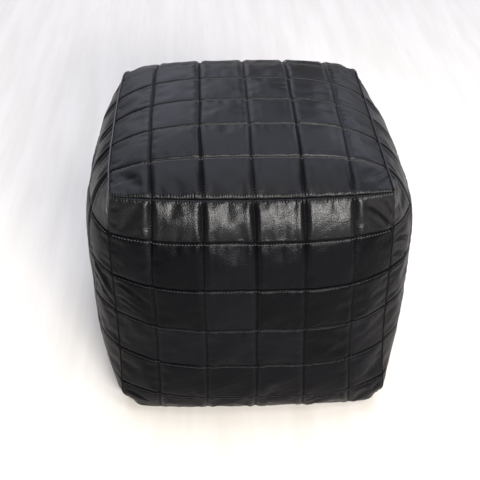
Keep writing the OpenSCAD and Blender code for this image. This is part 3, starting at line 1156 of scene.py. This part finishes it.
def tubes(name: str, paths: Array, radius: float, swell: Sequence[float], material: bpy.types.Material,
          polish_and_highlight: Array | float = 0.0, sides: int = 6) -> bpy.types.Object:
    """Make many short threads as one piece.

    Args:
        name: The piece's name.
        paths: Points of each thread's centreline, as threads by points by 3.
        radius: The thread's radius.
        swell: Its radius at each point, as a share of radius.
        material: Its finish.
        polish_and_highlight: How much painted highlight lightens each thread's colour, from 0 to 1.
        sides: How many sides it has.

    Returns:
        The piece.
    """
    count, steps, _ = paths.shape
    way = unit(np.gradient(paths, axis=1))
    up = np.zeros_like(way)
    up[..., 2] = 1.0
    up = np.where(np.abs(way[..., 2:3]) > 0.9, np.array([0.0, 1.0, 0.0]), up)
    across = unit(np.cross(way, up))
    over = np.cross(across, way)
    turn = np.arange(sides) * 2 * math.pi / sides
    reach = (np.array(swell) * radius)[None, :, None, None]
    cos, sin = (f(turn)[None, None, :, None] for f in (np.cos, np.sin))
    ring = (across[:, :, None] * cos + over[:, :, None] * sin) * reach
    points = paths[:, :, None] + ring
    s, k = np.meshgrid(np.arange(steps - 1), np.arange(sides), indexing="ij")
    a, b = s * sides + k, s * sides + (k + 1) % sides
    one = np.stack([a, b, b + sides, a + sides], -1).reshape(-1, 4)
    first = np.arange(count)[:, None, None] * steps * sides
    walls = (one[None] + first).reshape(-1, 4)
    cap = np.arange(sides)
    caps = np.concatenate([(cap[::-1] + first[:, 0]), (cap + (steps - 1) * sides + first[:, 0])])
    # How much painted highlight lightens each vertex of the thread.
    lighter = np.repeat(np.broadcast_to(polish_and_highlight, count), steps * sides)
    return make_piece(name, points, [*walls, *caps], material, {"polish_and_highlight": lighter})


# ---------------------------------------------------------------- seams between the panels


@dataclass(frozen=True)
class EdgeSeam:
    """One seam between two panels: where it runs on the cube, and how it looks."""

    axis: int
    first: float
    second: float
    kind: Edge

    def place(self, w: Array) -> Array:
        """Place the seam on the cube.

        Args:
            w: Places along it, from -1 to 1.

        Returns:
            Points of the cube.
        """
        ends = [np.full_like(w, self.first), np.full_like(w, self.second)]
        ends.insert(self.axis, w)
        return np.stack(ends, -1)


def edge_seams() -> list[EdgeSeam]:
    """List the cover's edge seams.

    Returns:
        All twelve.
    """
    found = []
    for side in (-1.0, 1.0):
        found.append(EdgeSeam(0, side, 1.0, Edge.SUNK))
        found.append(EdgeSeam(0, side, -1.0, Edge.PLAIN))
        found.append(EdgeSeam(1, side, 1.0, Edge.WELTED))
        found.append(EdgeSeam(1, side, -1.0, Edge.PLAIN))
        found += [EdgeSeam(2, side, other, Edge.PLAIN) for other in (-1.0, 1.0)]
    return found


WELT_SHAPES = {"left": (0.75, 1.25), "right": (1.5, 0.8)}


@dataclass
class EdgeWork:
    """The thread that closes the edge seams, and the welts that stand out of some of them."""

    cube: StuffedCube
    edging: dict[str, bpy.types.Material]
    thread: bpy.types.Material
    pitch: float = 3.6 * MM
    span: float = 1.9 * MM
    radius: float = 0.33 * MM
    welt: float = 0.95 * MM
    welt_stands: float = 0.9 * MM
    tail_from: float = 16 * MM
    tail: float = 33 * MM
    tail_drop: float = 0.42

    def _frame(self, seam: EdgeSeam, w: Array) -> tuple[Array, Array, Array]:
        """Find a seam's line and its ways.

        Args:
            seam: The seam.
            w: Places along it, from -1 to 1.

        Returns:
            Its points, its ways outwards and its ways across.
        """
        p = seam.place(w)
        line = self.cube.point(p)
        step = 2e-3
        way = unit(self.cube.point(seam.place(w + step)) - self.cube.point(seam.place(w - step)))
        sharp = p.copy()
        sharp[..., seam.axis] = 0.0
        out = unit(sharp - way * (sharp * way).sum(-1, keepdims=True))
        return line, out, np.cross(out, way)

    def sew(self) -> bpy.types.Object:
        """Sew the stitches that cross from one panel to the other.

        Returns:
            The stitches, as one piece.
        """
        parts = []
        for number, seam in enumerate(edge_seams()):
            w = np.arange(-0.965, 0.965, self.pitch / self.cube.half)
            draw = np.random.default_rng(900 + number)
            w = w + draw.normal(0, 0.06, w.shape) * self.pitch / self.cube.half
            line, out, across = self._frame(seam, w)
            deep = EDGE_LIP[seam.kind] - 0.35 * MM
            along = np.cross(across, out)
            reach = across * self.span / 2 + along * 0.5 * MM
            steps = [line - out * (deep - lift * MM) + reach * side for side, lift in CROSSING_ARC]
            parts.append(np.stack(steps, 1))
        piece = tubes("edge_stitches", np.concatenate(parts), self.radius, (0.7, 1, 1, 1, 0.7), self.thread)
        return settle(piece, COVER, ["top_edge_thread", "corner_thread", "bottom_edge_thread"])

    def _with_tail(self, line: Array, w: Array) -> tuple[Array, Array]:
        """Run a seam's line on past its front corner, in a short tail that drops.

        Args:
            line: The seam's points, from the front.
            w: How far along the seam each is.

        Returns:
            The longer line, and how far along each of its points is.
        """
        start = np.argmax(w > -1 + self.tail_from / self.cube.half)
        ahead = unit((line[start + 12] - line[start]) * np.array([0.0, 1.0, 1.0]))
        way = unit(ahead + np.array([0.05, 0.0, 0.0]))
        s = np.linspace(self.tail, 0.4 * MM, 36)[:, None]
        down = np.array([0.0, 0.0, -1.0])
        tail = line[start] - way * s + down * (s**2 / self.tail * self.tail_drop)
        before = w[start] - s[:, 0] / self.cube.half
        return np.concatenate([tail, line[start:]]), np.concatenate([before, w[start:]])

    def stand_welts(self) -> list[bpy.types.Object]:
        """Stand a narrow folded welt in each welted seam. The left one ends in a short tail in front.

        Returns:
            The welts.
        """
        made = []
        for seam in (e for e in edge_seams() if e.kind is Edge.WELTED):
            side = "left" if seam.first < 0 else "right"
            w = np.linspace(-1.0, 0.985, 420)
            line, out, across = self._frame(seam, w)
            if side == "left":
                line, w = self._with_tail(line, w)
                out, across = (np.concatenate([a[:1].repeat(len(w) - len(a), 0), a]) for a in (out, across))
            wobble = 0.35 * MM * smooth_noise(41 + int(seam.first), w * 9)[:, None]
            scallop = 0.10 * MM * np.cos(w * self.cube.half * 2 * math.pi / self.pitch)[:, None]
            taper = np.clip(np.minimum(w - w[0], w[-1] - w) / 0.02, 0.25, 1.0)[:, None]
            line = line + across * wobble + out * ((self.welt_stands + scallop) * taper - 0.2 * MM)
            turn = np.linspace(0, 2 * math.pi, 13)[:-1]
            wide, tall = WELT_SHAPES[side]
            cos, sin = (f(turn)[None, :, None] for f in (np.cos, np.sin))
            ring = across[:, None] * cos * wide + out[:, None] * sin * tall
            ring = ring * (self.welt * taper)[:, :, None]
            k = np.arange(len(turn))
            nxt = (k + 1) % len(turn)
            faces = [list(k[::-1]), list(k + (len(w) - 1) * len(turn))]
            for i in range(len(w) - 1):
                a, b = i * len(turn), (i + 1) * len(turn)
                faces += [(a + m, a + n, b + n, b + m) for m, n in zip(k, nxt)]
            count = len(w) * len(turn)
            run = np.repeat(w * self.cube.half, len(turn))
            # A shoulder number of 0.9 lightens the whole welt's colour: painted highlight.
            numbers = {"tone": np.full(count, 0.6), "seam": np.zeros(count), "run": run,
                       "shoulder": np.full(count, 0.9), "gather": np.full(count, 0.4),
                       "polish_and_highlight": np.ones(count)}
            piece = make_piece(f"{side}_welt", line[:, None] + ring, faces, self.edging[side], numbers)
            made.append(settle(piece, COVER))
        return made


# ---------------------------------------------------------------- underside and zip


NEAR_EDGE = np.array([0.1, 0.3, 0.6, 1, 1.5, 2.2, 3.5, 6]) * MM
HEM_FOLD = ((-0.35, 0.3), (-0.5, 0.6), (-0.35, 0.9), (0.2, 1.2), (4, 1.22), (9, 1.25), (13, 1.3))


@dataclass
class Underside:
    """The plain underside: two halves, hemmed along the zip, and the zip's tapes and stitching."""

    cube: StuffedCube
    leather: bpy.types.Material
    thread: bpy.types.Material
    tape: bpy.types.Material
    thick: float = 1.2 * MM
    slope: float = 52 * MM
    flat: float = 17 * MM
    closed: float = 0.15 * MM
    hem: float = 7 * MM
    spread: float = 1.077
    rumple: float = 0.8 * MM
    stitch_pitch: float = 3.4 * MM
    stitch_length: float = 2.6 * MM
    stitch_radius: float = 0.3 * MM

    def __post_init__(self) -> None:
        """Take the zip's place from the frame."""
        low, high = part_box("zip_stitching")
        self.rows = (high.y - 0.3 * MM, high.y - 3.3 * MM)
        self.opening = high.x
        self.hem_z = low.z + 0.65 * MM
        self.tape_low, self.tape_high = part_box("zip_tape_back")

    def _channel(self, y: Array) -> Array:
        """Return how far the underside has risen towards the zip at y, from 0 to 1."""
        return eased((self.slope - np.abs(y)) / (self.slope - self.flat))

    def _hem_line(self, x: Array) -> Array:
        """Return how far from the middle the hem runs at x."""
        return self.hem + (self.closed - self.hem) * eased((np.abs(x) - self.opening + 2 * MM) / (3 * MM))

    def _lines(self) -> tuple[Array, Array, Array]:
        """Space the lines of one half's grid.

        Returns:
            The lines along the zip, those across it from the edge to the slope, from -1 to 1, and those
            from the slope to the hem, in metres from the middle.
        """
        ends = self.opening / self.cube.half / self.spread
        u = np.unique(np.round(np.concatenate([
            1 - np.append(NEAR_EDGE, 9 * MM) / self.cube.half,
            np.linspace(0, 0.94, 44), ends + np.linspace(-0.02, 0.02, 9)]), 6))
        outer = 1 - np.append(NEAR_EDGE, 10 * MM) / self.cube.half
        outer = np.concatenate([outer, np.linspace(0.92, 0.28, 22)])
        inner = np.array([15, 14, 13, 12, 11, 9.5, 8.2, self.hem / MM]) * MM
        return np.concatenate([-u[:0:-1], u]), outer, np.append(np.linspace(self.slope, 16 * MM, 18), inner)

    def _face(self, side: float) -> Array:
        """Lay out the outer face of one half.

        Args:
            side: 1 for the back half and -1 for the front half.

        Returns:
            Its grid of points, from the edge seam to the hem.
        """
        u, outer, inner = self._lines()
        grid_u, grid_v = np.meshgrid(u, outer, indexing="ij")
        far = self.cube.point(np.stack([grid_u, side * grid_v, -np.ones_like(grid_u)], -1), 0.0, 0.0)
        grid_u, grid_y = np.meshgrid(u, inner, indexing="ij")
        low = np.stack([grid_u, side * grid_y / PANEL_UNIT, -np.ones_like(grid_u)], -1)
        near = self.cube.point(low, 0.0, 0.0)
        hem = self._hem_line(near[:, -1, 0])[:, None]
        share = np.clip((15 * MM - grid_y) / (8 * MM), 0, 1)
        near[..., 1] = side * (grid_y + (hem - self.hem) * share)
        face = np.concatenate([far, near], 1)
        along = np.repeat(u[:, None], face.shape[1], 1)
        from_front = np.concatenate([1 - np.repeat(outer[None], len(u), 0), np.ones(near.shape[:2])], 1)
        away = np.minimum(1 - np.abs(along), from_front) * self.cube.half
        radius = EDGE_LIP[Edge.PLAIN]
        inside = np.clip(radius - away, 0, radius)
        roll = radius - np.sqrt(np.maximum(radius**2 - inside**2, 0))
        rise = np.minimum(1, 3 * self.cube.swell(along)) * self.hem_z * self._channel(face[..., 1])
        x, y = face[..., 0], face[..., 1]
        rumple = self.rumple * (1 + smooth_noise(77 + int(side), x * 14, y * 14, waves=8))
        rumple *= np.clip(away / (30 * MM), 0, 1) * np.clip((np.abs(y) - 16 * MM) / (20 * MM), 0, 1)
        face[..., 2] += rise + np.maximum(rumple, 0) * 0.6
        centre = np.array([0, 0, 60 * MM])
        return face + unit(centre - face) * roll[..., None]

    def _half(self, side: float, name: str) -> bpy.types.Object:
        """Build the half on one side of the zip, with its hem folded in.

        Args:
            side: 1 for the back half and -1 for the front half.
            name: Its name.

        Returns:
            The leather.
        """
        face = self._face(side)
        fold = []
        for step, lift in HEM_FOLD:
            row = face[:, -1].copy()
            row[:, 1] += side * step * MM
            row[:, 2] += lift * self.thick / 1.2
            fold.append(row)
        tucked = [face[:, 0] + np.array([0, -side * 0.2 * d, 0.6 * d]) for d in (4 * MM, 2 * MM)]
        points = np.concatenate([np.stack(tucked, 1), face, np.stack(fold, 1)], 1)
        faces = grid_faces(*points.shape[:2])
        flat = points.reshape(-1, 3)
        plain = np.zeros(len(flat))
        numbers = {"tone": plain + 0.5, "seam": plain, "shoulder": plain, "run": flat[:, 0],
                   "gather": plain}
        faces = faces if side < 0 else faces[:, ::-1]
        piece = make_piece(name, points, faces, self.leather, numbers)
        return settle(piece, COVER, [name])

    def _tape(self, side: float, name: str) -> bpy.types.Object:
        """Weave the tape of one side, with its ribs.

        Args:
            side: 1 for the back and -1 for the front.
            name: Its name.

        Returns:
            The tape.
        """
        near, far = self.tape_low.y, self.tape_high.y
        y = np.array([0, 0.1, 0.3, 3.2, 3.6, 4.0, 7.0, 7.4, 7.8, 11.5, 11.9, 12.3, 13.9, 14.2, 14.35]) * MM
        y = near + y * (far - near) / y[-1]
        half = (self.tape_high.z - self.tape_low.z) / 2
        middle = (self.tape_high.z + self.tape_low.z) / 2
        thick = half * np.array([0.3, 0.8, 1, 1, 1.12, 1, 1, 1.12, 1, 1, 1.12, 1, 1, 0.8, 0.3])
        x = np.linspace(self.tape_low.x, self.tape_high.x, 160)
        wave = 0.02 * MM * np.sin(x * 900)[:, None]
        loop_y = np.concatenate([y, y[::-1]])
        loop_z = np.concatenate([thick, -thick[::-1]])
        ways = (x[:, None], side * loop_y[None], middle + loop_z[None] + wave)
        points = np.stack(np.broadcast_arrays(*ways), -1)
        count = len(loop_y)
        k = np.arange(count)
        faces = [list(k), list(k[::-1] + (len(x) - 1) * count)]
        for i in range(len(x) - 1):
            faces += [(i * count + a, (i + 1) * count + a, (i + 1) * count + b, i * count + b)
                      for a, b in zip(k, (k + 1) % count)]
        faces = [f[::-1] for f in faces] if side > 0 else faces
        return settle(make_piece(name, points, faces, self.tape), COVER, [name])

    def _stitch(self) -> bpy.types.Object:
        """Sew the two rows of stitches along each hem.

        Returns:
            The stitches, as one piece.
        """
        x = np.arange(-self.opening + 3 * MM, self.opening - 3 * MM, self.stitch_pitch)
        parts = []
        for side in (-1, 1):
            for row in self.rows:
                y = np.full_like(x, side * row)
                points = [(x + k * self.stitch_length, y, np.full_like(x, self.hem_z - lift * MM))
                          for k, lift in HEM_ARC]
                parts.append(np.stack([np.stack(point, -1) for point in points], 1))
        piece = tubes("hem_stitches", np.concatenate(parts), self.stitch_radius, (0.6, 1, 1, 1, 0.6),
                      self.thread)
        return settle(piece, COVER, ["zip_stitching"])

    def build(self) -> None:
        """Build the underside."""
        for side, name in ((-1.0, "front"), (1.0, "back")):
            self._half(side, f"bottom_leather_{name}")
            self._tape(side, f"zip_tape_{name}")
        self._stitch()


@dataclass(frozen=True)
class ZipMetal:
    """The zip's metal, whose shapes come with the frame."""

    brass: bpy.types.Material
    edge: float = 0.22 * MM
    rounded: tuple[str, ...] = ("zip_slider", "zip_pull", "zip_top_stops", "zip_bottom_stop")
    plain: tuple[str, ...] = ("zip_teeth_front", "zip_teeth_back")

    def dress(self) -> None:
        """Give the metal its finish and round its edges."""
        for name in self.rounded + self.plain:
            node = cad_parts[name]
            node.data.materials.clear()
            node.data.materials.append(self.brass)
            weld = node.modifiers.new("Weld", "WELD")
            weld.merge_threshold = 0.01 * MM
            if name in self.rounded:
                bevel = node.modifiers.new("Bevel", "BEVEL")
                bevel.width, bevel.segments, bevel.limit_method = self.edge, 2, "ANGLE"
            LOG.info("%s: brass", name)


# ---------------------------------------------------------------- what is inside


@dataclass
class Stuffing:
    """What fills the cover: wadding and lining behind each quilted panel, and the inner bag."""

    cube: StuffedCube
    panels: dict[Panel, PatchworkPanel]
    wadding: bpy.types.Material
    lining: bpy.types.Material
    calico: bpy.types.Material
    waste: bpy.types.Material
    leather: float = 1.4 * MM
    wadding_depth: float = 8.4 * MM
    lining_depths: tuple[float, float] = (8.6 * MM, 9.1 * MM)
    bag_depth: float = 9.5 * MM
    filling_depth: float = 10.8 * MM
    zip_room: float = 8.3 * MM
    crease_reach: float = 0.025
    inset: float = 0.95
    form_lines: int = 41
    zip_height: float = 60 * MM
    zip_clear: float = 22 * MM

    def _slab(self, name: str, outer: Array, inner: Array,
              material: bpy.types.Material) -> bpy.types.Object:
        """Close two grids of points into one slab.

        Args:
            name: The piece's name.
            outer: Points of its outer face.
            inner: As many points of its inner face.
            material: Its finish.

        Returns:
            The new object.
        """
        cols, rows, _ = outer.shape
        count = cols * rows
        faces = [tuple(f) for f in grid_faces(cols, rows)]
        faces += [tuple(f[::-1]) for f in grid_faces(cols, rows, count)]
        i, j = np.arange(cols), np.arange(rows)
        rim = np.concatenate([i[:-1] * rows, (cols - 1) * rows + j[:-1],
                              i[:0:-1] * rows + rows - 1, j[:0:-1]])
        faces += [(a, a + count, b + count, b) for a, b in zip(rim, np.roll(rim, -1))]
        points = np.concatenate([outer.reshape(-1, 3), inner.reshape(-1, 3)])
        return make_piece(name, points, faces, material)

    def _layers(self) -> None:
        """Lay the wadding and the lining behind each quilted panel."""
        steps = np.array([0, 0.06, 0.14, 0.22, 0.3, 0.4, 0.5, 0.6, 0.7, 0.78, 0.86, 0.94])
        steps = np.append((np.arange(6)[:, None] + steps).ravel(), 6)
        lines = np.interp(steps, np.arange(7), self.cube.seams())
        for panel, quilted in self.panels.items():
            u, v = np.meshgrid(lines * self.inset, lines * self.inset, indexing="ij")
            gaps = np.abs(np.stack([u, v])[..., None] - self.cube.seams()).min(-1).min(0) * self.cube.half
            under = self.leather + 0.8 * MM * bell(gaps, 4 * MM)
            beside = (-self.crease_reach, 0.0, self.crease_reach)
            folds = np.minimum.reduce([quilted.creased(u + a, v + b) for a in beside for b in beside])
            outer = quilted.surface(u, v, extra=1.2 * np.minimum(folds, 0) - under)
            inner = self.cube.point(panel.on_cube(u, v), self.wadding_depth)
            pad = self._slab(f"{panel.value}_wadding_pad", outer, inner, self.wadding)
            settle(pad, COVER, [f"{panel.value}_wadding"])
            u, v = np.meshgrid(lines[::3] * self.inset, lines[::3] * self.inset, indexing="ij")
            shells = [self.cube.point(panel.on_cube(u, v), d) for d in self.lining_depths]
            back = self._slab(f"{panel.value}_lining_cloth", *shells, self.lining)
            settle(back, COVER, [f"{panel.value}_lining"])

    def _form(self, name: str, depth: float, floor: float,
              material: bpy.types.Material) -> bpy.types.Object:
        """Build a closed form of the cover's own shape, lifted over the zip.

        Args:
            name: The piece's name.
            depth: How far under the leather's outer face it lies.
            floor: How far above the floor it lies.
            material: Its finish.

        Returns:
            The new object.
        """
        n = self.form_lines
        u, v = np.meshgrid(np.linspace(-1, 1, n), np.linspace(-1, 1, n), indexing="ij")
        sides = [self.cube.point(panel.on_cube(u, v), depth, floor) for panel in Panel]
        placed = np.concatenate(sides).reshape(-1, 3)
        faces = [grid_faces(n, n, number * n * n) for number in range(len(Panel))]
        top = self.zip_height
        over_zip = eased((top - np.abs(placed[:, 1])) / (top - self.zip_clear))
        placed[:, 2] += self.zip_room * over_zip * np.clip(1 - placed[:, 2] / top, 0, 1)
        piece = make_piece(name, placed, np.concatenate(faces), material)
        mesh = bmesh.new()
        mesh.from_mesh(piece.data)
        bmesh.ops.remove_doubles(mesh, verts=mesh.verts, dist=0.02 * MM)
        bmesh.ops.recalc_face_normals(mesh, faces=mesh.faces)
        mesh.to_mesh(piece.data)
        mesh.free()
        return piece

    def build(self) -> None:
        """Build every layer."""
        self._layers()
        bag = self._form("inner_bag_calico", self.bag_depth, 1.6 * MM, self.calico)
        settle(bag, COVER, ["inner_bag"])
        filling = self._form("cotton_filling", self.filling_depth, 2.8 * MM, self.waste)
        settle(filling, COVER, ["stuffing"])


# ---------------------------------------------------------------- the studio


@dataclass(frozen=True)
class Lamp:
    """One soft lamp: where it hangs, its two sides, its watts and its colour."""

    name: str
    place: tuple[float, float, float]
    size: tuple[float, float]
    power: float
    colour: tuple[float, float, float]

    def hang(self, aim: Vector) -> None:
        """Hang the lamp.

        Args:
            aim: The point that it faces.
        """
        data = bpy.data.lights.new(self.name, "AREA")
        data.shape, data.size, data.size_y = "RECTANGLE", *self.size
        data.energy, data.color = self.power, self.colour
        lamp = bpy.data.objects.new(self.name, data)
        lamp.location = self.place
        lamp.rotation_mode = "QUATERNION"
        lamp.rotation_quaternion = (aim - Vector(self.place)).to_track_quat("-Z", "Y")
        bpy.context.scene.collection.objects.link(lamp)


LAMPS = (
    Lamp("key", (1.15, -1.55, 2.45), (0.9, 0.9), 30.0, (1.0, 0.965, 0.92)),
    Lamp("low_lamp", (0.48, -2.06, 1.25), (0.85, 0.34), 92.0, (1.0, 0.975, 0.95)),
    Lamp("window", (-1.1, 2.8, 2.1), (2.8, 2.8), 37.0, (0.79, 0.83, 1.0)),
    Lamp("side_window", (2.0, 2.3, 2.2), (2.3, 2.3), 34.0, (0.79, 0.83, 1.0)),
    Lamp("loft", (-0.1, 0.4, 3.0), (2.8, 2.8), 62.0, (0.82, 0.87, 1.0)),
)


@dataclass(frozen=True)
class Studio:
    """A pale floor, soft light and the camera."""

    cube: StuffedCube
    azimuth: float = -2.69
    elevation: float = 37.43
    roll: float = 0.56
    distance: float = 1.318
    aside: float = -0.0121
    rise: float = -0.0221
    lens: float = 64.6
    floor_reach: float = 6.0
    sky: float = 0.18

    def build(self) -> None:
        """Build the floor, the lights and the camera."""
        self._floor()
        self._lights()
        self._camera()

    def _floor(self) -> None:
        """Lay a pale floor."""
        s = Shade("pale_floor")
        place = s.place()
        grain = s.noise(s.stretched(place, (14.0, 1.2, 1.0)), 2.0, 4.0, 0.6)
        colour = s.mix(grain.ramp(0.3, 0.7), rgb(0.70, 0.665, 0.61), rgb(0.76, 0.725, 0.68))
        material = s.finish(s.surface({"Roughness": 0.7}, Base_Color=colour))
        reach = self.floor_reach
        corners = np.array([(-reach, -reach, 0), (reach, -reach, 0), (reach, reach, 0), (-reach, reach, 0)])
        make_piece("floor", corners, [(0, 1, 2, 3)], material)

    def _lights(self) -> None:
        """Hang the soft lights."""
        world = bpy.data.worlds.new("studio")
        bpy.context.scene.world = world
        world.use_nodes = True
        sky = world.node_tree.nodes["Background"]
        sky.inputs["Color"].default_value = rgb(1.0, 0.985, 0.96)
        sky.inputs["Strength"].default_value = self.sky
        for lamp in LAMPS:
            lamp.hang(Vector((0, 0, self.cube.middle)))

    def _camera(self) -> None:
        """Place the camera."""
        a, e, r = (math.radians(x) for x in (self.azimuth, self.elevation, self.roll))
        back = Vector((math.sin(a) * math.cos(e), -math.cos(a) * math.cos(e), math.sin(e)))
        right = Vector((math.cos(a), math.sin(a), 0))
        up = back.cross(right)
        turned = right * math.cos(r) + up * math.sin(r)
        above = up * math.cos(r) - right * math.sin(r)
        data = bpy.data.cameras.new("camera")
        data.lens, data.sensor_width = self.lens, 36.0
        camera = bpy.data.objects.new("camera", data)
        middle = Vector((0, 0, self.cube.middle))
        place = middle + back * self.distance + right * self.aside + up * self.rise
        axes = Matrix((turned, above, back)).transposed().to_4x4()
        camera.matrix_world = Matrix.Translation(place) @ axes
        bpy.context.scene.collection.objects.link(camera)
        bpy.context.scene.camera = camera
        bpy.context.scene.view_settings.view_transform = "Standard"


def cube_of_frame() -> StuffedCube:
    """Size the stuffed cube from the CAD frame.

    Returns:
        The cube.
    """
    low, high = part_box("corner_thread")
    top_low, top_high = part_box("top_patches")
    half = (top_high.x - top_low.x) / 2 - SEAM_INSET
    return StuffedCube(half=half, middle=(low.z + high.z) / 2)


def main() -> None:
    """Build every piece in order."""
    logging.basicConfig(level=logging.INFO, format="%(name)s: %(message)s", stream=sys.stdout)
    cube = cube_of_frame()
    LOG.info("cube: half %.1f mm, middle %.1f mm", cube.half / MM, cube.middle / MM)
    leather, thread = GoatLeather().make(), WaxedThread().make()
    quilt = Quilt(cube)
    quilt.work_out()
    panels = {panel: PatchworkPanel(panel, cube, quilt, leather, thread) for panel in QUILTED}
    for quilted in panels.values():
        quilted.build()
        quilted.stitch()
    # The left welt gets a lighter, glossier copy of the leather as a painted highlight; the right welt
    # keeps the plain leather.
    edging = GoatLeather("painted_highlight_edging", rgb(0.018, 0.018, 0.020), rgb(0.050, 0.050, 0.054), gloss=0.35,
                          polish=0.5).make()
    edges = EdgeWork(cube, {"left": edging, "right": leather}, thread)
    edges.sew()
    edges.stand_welts()
    tape = Weave("zip_tape_weave", rgb(0.02, 0.02, 0.022), rgb(0.008, 0.008, 0.009)).make()
    Underside(cube, leather, thread, tape).build()
    ZipMetal(OldBrass().make()).dress()
    Stuffing(
        cube, panels,
        wadding=Fibre("polyester_wadding", rgb(0.82, 0.82, 0.80), rgb(0.55, 0.55, 0.54)).make(),
        lining=Weave("cotton_lining", rgb(0.62, 0.60, 0.55), rgb(0.34, 0.32, 0.29)).make(),
        calico=Weave("calico", rgb(0.70, 0.63, 0.50), rgb(0.42, 0.37, 0.28), 0.0009).make(),
        waste=Fibre("cotton_waste", rgb(0.72, 0.66, 0.55), rgb(0.40, 0.34, 0.26), 120.0).make(),
    ).build()
    Studio(cube).build()


if __name__ == "__main__":
    main()
